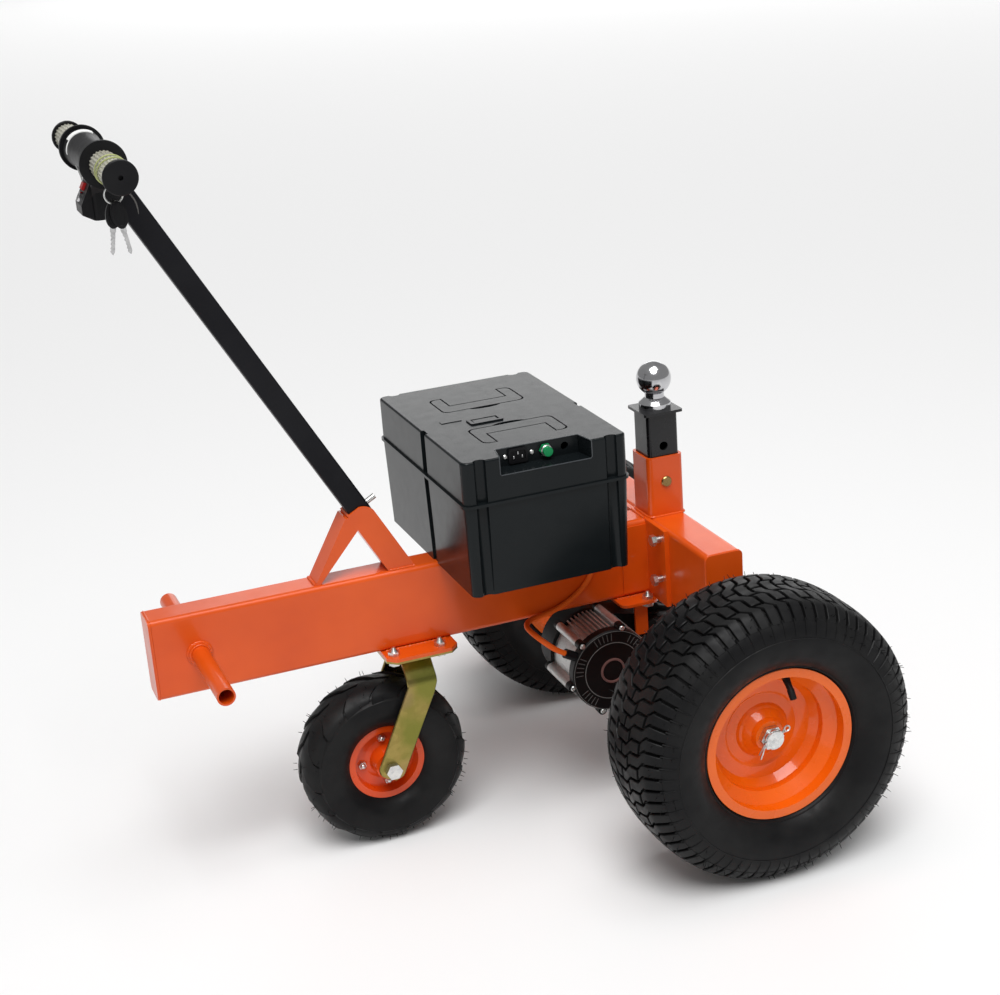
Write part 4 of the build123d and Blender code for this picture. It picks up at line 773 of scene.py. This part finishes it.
half_rings = []
for rise in (0.0, 0.0015, 0.004, 0.008, 0.013, 0.020):
    centre = leg_foot + leg_up * rise + rightward * leg_y
    below = max(foot_round - rise, 0.0)
    back = foot_round - leg_half - math.sqrt(foot_round ** 2 - below ** 2)
    front = min(leg_half, leg_half - foot_chamfer + rise)
    half_rings.append(strap_ring(centre, leg_side, back, front, rightward))
bend = Vector((kingpin_x, -leg_y, bend_start_z))
leg_top_half = leg_half + 0.0006
half_rings.append(strap_ring(bend - leg_up * 0.004, leg_side, -leg_top_half, leg_top_half, rightward))
for share in (0.25, 0.5, 0.75, 1.0):
    turn = share * upright
    half_rings.append(head_ring(bend.y + bend_rise * (1 - math.cos(turn)), bend.z + bend_rise * share, turn))
for share in (0.0, 0.25, 0.5, 0.75, 1.0):
    climb = crown_rise * math.sin(share * math.pi / 2)
    half_rings.append(head_ring(crown_inward * share - crown_y, crown_z + climb, upright + share * slope))
far_rings = [[Vector((point.x, -point.y, point.z)) for point in ring] for ring in half_rings[::-1]]
strap = Shape()
strap.rings(half_rings + far_rings)
fork_piece = strap.build("caster_fork_strap", yellow_zinc, "caster_fork", "yellow_zinc", sharp=40.0)
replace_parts(fork_piece, "caster_fork")

# Motor: a screw in each of the cover's lugs, light edges in the vents, and the ring and disc lines
lug_count = 6
lug_orbit = 0.0635
lug_first = 13.5
lug_pitch = 60.0
vents_per_gap = 5
vent_pitch = 7.0
vent_start = 0.0460
vent_length = 0.0110
vent_strip = 0.8 * millimetre
vent_depth = 2.4 * millimetre
lug_screw = [(0.0040, -0.001), (0.0040, 0.0018), (0.0030, 0.0030), (0.0014, 0.0030), (0.0012, 0.0016)]
motor_screws = Shape()
vent_edges = Shape()
for lug in range(lug_count):
    lug_turn = lug_first + lug_pitch * lug
    head = around(motor, lug_orbit, math.radians(lug_turn), motor_face_y + 0.003)
    motor_screws.lathe(head, rightward, lug_screw, sides=14)
    for vent in range(vents_per_gap):
        turn = math.radians(lug_turn + lug_pitch / 2 + (vent - vents_per_gap // 2) * vent_pitch)
        out = Vector((math.cos(turn), 0.0, math.sin(turn)))
        across = Vector((-out.z, 0.0, out.x))
        foot = around(motor, vent_start, turn, motor_face_y + vent_depth) - across * vent_strip / 2
        vent_edges.slab(foot, out, across, rectangle(vent_length, vent_strip), thickness=0.0022,
                        round_off=0.0002)
motor_screws.build("motor_screws", zinc, "chassis", "zinc")
vent_edges.build("motor_vent_edges", pale_grey, "chassis")
cover_lines = Shape()
for radius, wire in ((0.0426, 0.0006), (0.0598, 0.0004)):
    line = [around(motor, radius, turn, motor_face_y + 0.0001) for turn in turns(64)]
    cover_lines.tube(line, wire, sides=6, closed=True)
cover_lines.build("motor_cover_lines", pale_grey, "chassis")
cover_ring_section = ((0.0154, 0.0), (0.0160, 0.0022), (0.0168, 0.0026), (0.0178, 0.0026),
                      (0.0184, 0.0022), (0.0190, 0.0))
cover_ring = Shape()
cover_ring.rings([[around(motor, radius, turn, motor_face_y - rise) for radius, rise in cover_ring_section]
                  for turn in turns(48)], closed=True)
cover_ring.build("motor_cover_ring", ring_brown, "chassis")

# Charge panel: the inlet's three pins, a screw at each of its sides and a collar round the button
inlet_x = panel_x + 0.0375
button_x = panel_x + 0.0775
pin_width, pin_height, pin_depth, pin_ease = 0.0016, 0.004, 0.0016, 0.0003
panel_screw = [(0.0032, -0.0008), (0.0032, 0.0008), (0.0022, 0.0018), (0.0010, 0.0018), (0.0008, 0.0008)]
collar = [(0.0080, -0.0006), (0.0080, 0.0024), (0.0070, 0.0032), (0.0066, 0.0032), (0.0066, -0.0006)]
inlet_pins = Shape()
for x, z in ((-0.006, -0.002), (0.006, -0.002), (0.0, 0.0035)):
    corner = (inlet_x + x - pin_width / 2, panel_y - 0.0018, panel_z + z - pin_height / 2)
    inlet_pins.slab(corner, along_x, upward, rectangle(pin_width, pin_height), pin_depth, pin_ease)
inlet_pins.build("inlet_pins", steel, "chassis")
panel_screws = Shape()
for x in (0.0205, -0.0175):
    panel_screws.lathe((inlet_x + x, panel_y + 0.0002, panel_z), rightward, panel_screw, sides=14)
panel_screws.build("panel_screws", zinc, "chassis", "zinc")
button_collar = Shape()
button_collar.lathe((button_x, panel_y - 0.0038, panel_z), rightward, collar, sides=20)
button_collar.build("button_collar", zinc, "chassis", "zinc")

# Charge recess: the moulded bead round its opening, down the box's face and over its lid, in a paler plastic
# than the box: a painted highlight along the recess's edges
recess_left, recess_right = -0.0123, 0.1187
recess_floor = beam_top + 0.165
recess_face_y = -0.1770
bead_top = lid_top - 0.0002
recess_highlight_bead = Shape()
recess_highlight_bead.tube([
    (recess_right, recess_face_y, lid_top - 0.001),
    (recess_right, recess_face_y, recess_floor + 0.002),
    (recess_right - 0.002, recess_face_y, recess_floor),
    (recess_left + 0.002, recess_face_y, recess_floor),
    (recess_left, recess_face_y, recess_floor + 0.002),
    (recess_left, recess_face_y, lid_top - 0.001),
    (recess_left + 0.001, recess_face_y + 0.0025, bead_top),
    (recess_left + 0.006, panel_y - 0.001, bead_top),
    (recess_left + 0.008, panel_y, bead_top),
    (recess_right - 0.008, panel_y, bead_top),
    (recess_right - 0.006, panel_y - 0.001, bead_top),
    (recess_right - 0.001, recess_face_y + 0.0025, bead_top),
], 0.0008, sides=8, closed=True)
recess_highlight_bead.build("recess_highlight_bead", recess_highlight_plastic, "chassis", "black_plastic")

# Lid: bare raised pad beside the latch, and the latch's insert
lid_pad = rectangle(0.030, 0.0095)
latch_insert = rectangle(0.035, 0.0125)
lid_trim = Shape()
lid_trim.slab((-0.029, 0.0005, lid_top - 0.0002), along_x, along_y, lid_pad, 0.0010, 0.0005)
lid_trim.slab((0.0112, -0.0222, lid_top + 0.0001), along_x, along_y, latch_insert, 0.0013, 0.0006)
lid_trim.build("lid_trim", box_plastic, "chassis", "black_plastic")


# Welds: rippled beads along the joints, under the paint
def weld(points, radius, closed=False, step=0.0022):
    """A bead of uneven thickness along a line of points."""
    points = [Vector(point) for point in points]
    fine = []
    for one, two in zip(points, points[1:] + points[:1] if closed else points[1:]):
        pieces = max(1, round((two - one).length / step))
        fine += [one.lerp(two, i / pieces) for i in range(pieces)]
    if not closed:
        fine.append(points[-1])
    radii = [radius * (1.0 + 0.16 * math.sin(2.4 * i) + random_source.uniform(-0.06, 0.06))
             for i in range(len(fine))]
    welds.tube(fine, radii, sides=6, closed=closed)


def round_rectangle(half_wide, half_high, corner=0.007, steps=4):
    """Points round a rectangle with eased corners, counter-clockwise."""
    points = []
    for quarter, (x, y) in enumerate(((1, 1), (-1, 1), (-1, -1), (1, -1))):
        for i in range(steps + 1):
            turn = math.pi / 2 * (quarter + i / steps)
            points.append((x * (half_wide - corner) + corner * math.cos(turn),
                           y * (half_high - corner) + corner * math.sin(turn)))
    return points


beam_mid = (beam_top + beam_bottom) / 2
over_beam = beam_top + 0.0004
under_beam = beam_bottom - 0.0004
cap_half_high = 0.0575
push_bar_middle = Vector((push_bar_x, 0.0, beam_mid))
collar_welds = ((0.0162, 0.0258, 0.0021), (0.0135, 0.0304, 0.0017))
side_welds = (
    ((doubler_x, beam_bottom + 0.008), (doubler_x, beam_top - 0.008), 0.0255, 0.0024),
    ((kingpin_x - 0.040, under_beam), (kingpin_x + 0.051, under_beam), 0.0245, 0.0022),
    ((axle_x - 0.066, under_beam), (axle_x - 0.018, under_beam), 0.0245, 0.0022),
    ((-0.128, over_beam), (-0.0925, over_beam), 0.0188, 0.0020),
)
top_welds = (
    (-0.1278, 0.017, beam_top + 0.0008, 0.0024),
    (-0.2357, 0.0175, over_beam, 0.0024),
    (-0.2277, 0.0175, over_beam, 0.0020),
    (doubler_x, 0.021, over_beam, 0.0020),
)
welds = Shape()
weld([(nose_x + 0.003, y, beam_mid + z) for y, z in round_rectangle(0.0245, cap_half_high)], 0.0016, True)
for side in (1, -1):
    weld([(cross_x + x, side * cross_half, beam_mid + z) for x, z in round_rectangle(0.0275, cap_half_high)],
         0.0017, True)
    for orbit, offset, radius in collar_welds:
        weld([around(push_bar_middle, orbit, turn, side * offset) for turn in turns(24)], radius, True)
    for (x0, z0), (x1, z1), offset, radius in side_welds:
        weld([(x0, side * offset, z0), (x1, side * offset, z1)], radius)
weld([(cross_x + x, y, over_beam) for x, y in round_rectangle(0.0283, 0.0283)], 0.0021, True)
for x, half, z, radius in top_welds:
    weld([(x, -half, z), (x, half, z)], radius)
welds.build("weld_beads", orange, "chassis", "orange_paint", sharp=80.0)


# Head: a bare white strip across the housing's waist, and the light seam that runs on down its front
def waist(y):
    """The housing's radius at a distance from the middle plane."""
    return 0.021 + y * y / 1.336


seam_y = 0.051
strip_first, strip_step, strip_count = 142.0, 8.4, 11
strip_section = ((0.050, -0.0003), (0.0615, -0.0003), (0.0615, 0.0012), (0.050, 0.0012))
strip = Shape()
strip.rings([[around(bar, waist(y) + rise, math.radians(strip_first - strip_step * i), y)
              for y, rise in strip_section] for i in range(strip_count)])
strip.build("head_strip", strip_white, "chassis")
seam_turns = (142, 150, 158, 166, 174, 182)
seam_run = ((-0.0155, 0.0470, -0.0120), (-0.0128, 0.0350, -0.0270), (-0.0115, 0.0250, -0.0410),
            (-0.0112, 0.0236, -0.0700))
seam_line = [around(bar, waist(seam_y), math.radians(turn), seam_y) for turn in seam_turns]
seam_line += [bar + Vector(place) for place in seam_run]
seam = Shape()
seam.tube(seam_line, 0.0011, sides=6)
seam.build("head_seam", strip_white, "chassis")

# Handle: a pale rim where the head's neck is coped over the square tube, a painted highlight along the coped
# edge
tube_half = 0.0150
cope_line = ((0.0290, -0.0440, 0.0004), (0.0335, -0.0468, 0.0008), (0.0375, -0.0510, 0.0010),
             (0.0408, -0.0565, 0.0010), (0.0430, -0.0630, 0.0010), (0.0441, -0.0700, 0.0008),
             (0.0442, -0.0760, 0.0004))
cope = Shape()
for side in (1, -1):
    cope.tube([bar + Vector((x, side * tube_half, z)) for x, z, _ in cope_line],
              [radius for _, _, radius in cope_line], sides=8)
cope.build("neck_rim_highlight", pale_grey, "chassis")

# Keys: two on a split ring, with moulded heads and cut blades, outlined in millimetres
key_ring_centre = bar + Vector((0.0, -0.120, -0.0297))
ring_radius = 0.011
ring_split = 0.0007
ring_wire = 0.0009
key_lean = math.radians(9.0)
head_half_wide = 0.0095
head_half_long = 0.017
head_levels = ((-3.0, 0.86), (-2.2, 1.0), (2.2, 1.0), (3.0, 0.86), (3.0, 0.62), (2.6, 0.58))
blade_levels = (-1.0, 1.0)
blade_outline = [(3.5, -38), (2.7, -39), (2.7, -62), (0.6, -66), (-0.8, -65), (-2.6, -62), (-1.4, -60),
                 (-2.6, -58), (-1.2, -55.5), (-2.4, -53), (-1.6, -50.5), (-2.7, -48), (-1.5, -45.5),
                 (-2.7, -43), (-2.7, -39), (-3.5, -38), (-3.5, -32), (3.5, -32)]
split_ring = Shape()
split_ring.tube([around(key_ring_centre, ring_radius, 2 * turn, ring_split * math.cos(turn))
                 for turn in turns(72)], ring_wire, sides=8, closed=True)
key_heads = Shape()
key_blades = Shape()
for side in (1, -1):
    lean = -side * key_lean
    wide = Vector((math.cos(lean), 0.0, math.sin(lean)))
    high = Vector((-math.sin(lean), 0.0, math.cos(lean)))
    hang = key_ring_centre + Vector((0.0, side * 0.004, -0.007))
    rings = []
    for level, scale in head_levels:
        half_wide = head_half_wide * scale
        half_long = head_half_long * (scale + (1 - scale) * 0.4)
        middle = hang - high * head_half_long + rightward * level * millimetre
        rings.append([middle + wide * half_wide * math.cos(turn) + high * half_long * math.sin(turn)
                      for turn in turns(36)])
    key_heads.rings(rings)
    key_blades.rings([[hang + (wide * x + high * z + rightward * level) * millimetre
                       for x, z in blade_outline] for level in blade_levels])
for shape, name, material in ((split_ring, "key_ring", zinc), (key_heads, "key_heads", black_plastic),
                              (key_blades, "key_blades", steel)):
    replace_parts(shape.build(name, material, "chassis"), "keys")

# Key band: two crossed turns of elastic round the right grip, down to the ring
band_radius = 0.0186
band_wire = 0.0010
band = Shape()
for centre_y, slant in ((-0.136, 0.017), (-0.124, 0.006)):
    band.tube([around(bar, band_radius, turn, centre_y - slant * math.sin(turn)) for turn in turns(40)],
              band_wire, sides=6, closed=True)
band.build("key_band", band_green, "chassis")

# Studio: a wide pale floor under a soft sun, a softbox overhead and a panel behind that the tops mirror
floor_reach = 60.0
floor_corners = [(-floor_reach, -floor_reach, 0.0), (floor_reach, -floor_reach, 0.0),
                 (floor_reach, floor_reach, 0.0), (-floor_reach, floor_reach, 0.0)]
floor_mesh = bpy.data.meshes.new("floor")
floor_mesh.from_pydata(floor_corners, [], [[0, 1, 2, 3]])
floor = new_object("floor", floor_mesh)
floor_mesh.materials.append(new_material("floor_finish", (0.88, 0.88, 0.88), 0.8, Specular_IOR_Level=0.1))
floor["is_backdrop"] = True

# World: soft light all round, and a brighter backdrop where the camera looks past the floor
white = (1.0, 1.0, 1.0, 1.0)
world = bpy.data.worlds.new("studio")
world.use_nodes = True
soft_light = world.node_tree.nodes["Background"]
backdrop = world.node_tree.nodes.new("ShaderNodeBackground")
for background, strength in ((soft_light, 0.32), (backdrop, 0.82)):
    background.inputs["Color"].default_value = white
    background.inputs["Strength"].default_value = strength
seen = world.node_tree.nodes.new("ShaderNodeLightPath")
both = world.node_tree.nodes.new("ShaderNodeMixShader")
output = world.node_tree.nodes["World Output"]
for start, end in ((seen.outputs["Is Camera Ray"], both.inputs[0]),
                   (soft_light.outputs["Background"], both.inputs[1]),
                   (backdrop.outputs["Background"], both.inputs[2]),
                   (both.outputs["Shader"], output.inputs["Surface"])):
    world.node_tree.links.new(start, end)
bpy.context.scene.world = world


def lamp(name, kind, place, target, power, size=0.0, height=0.0, angle=0.0):
    """A lamp turned to its target: a sun of an angle in degrees, or a rectangle of two sides."""
    light = bpy.data.lights.new(name, kind)
    light.energy = power
    if kind == "SUN":
        light.angle = math.radians(angle)
    else:
        light.shape = "RECTANGLE"
        light.size = size
        light.size_y = height
    made = new_object(name, light)
    made.location = place
    made.rotation_euler = (Vector(target) - Vector(place)).to_track_quat("-Z", "Y").to_euler()
    made.visible_camera = False


lamp("sun", "SUN", (-0.6, -1.6, 3.0), (0.0, 0.0, 0.0), power=2.1, angle=35.0)
lamp("softbox", "AREA", (0.1, -0.5, 2.6), (0.0, 0.0, 0.4), power=20.0, size=1.6, height=1.2)
lamp("back_panel", "AREA", (7.7, 15.0, 4.5), (0.2, 0.0, 0.5), power=340.0, size=11.5, height=6.7)
bpy.context.scene.view_settings.view_transform = "Standard"

# Size: the box round every object drawn, apart from the backdrop
low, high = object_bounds()
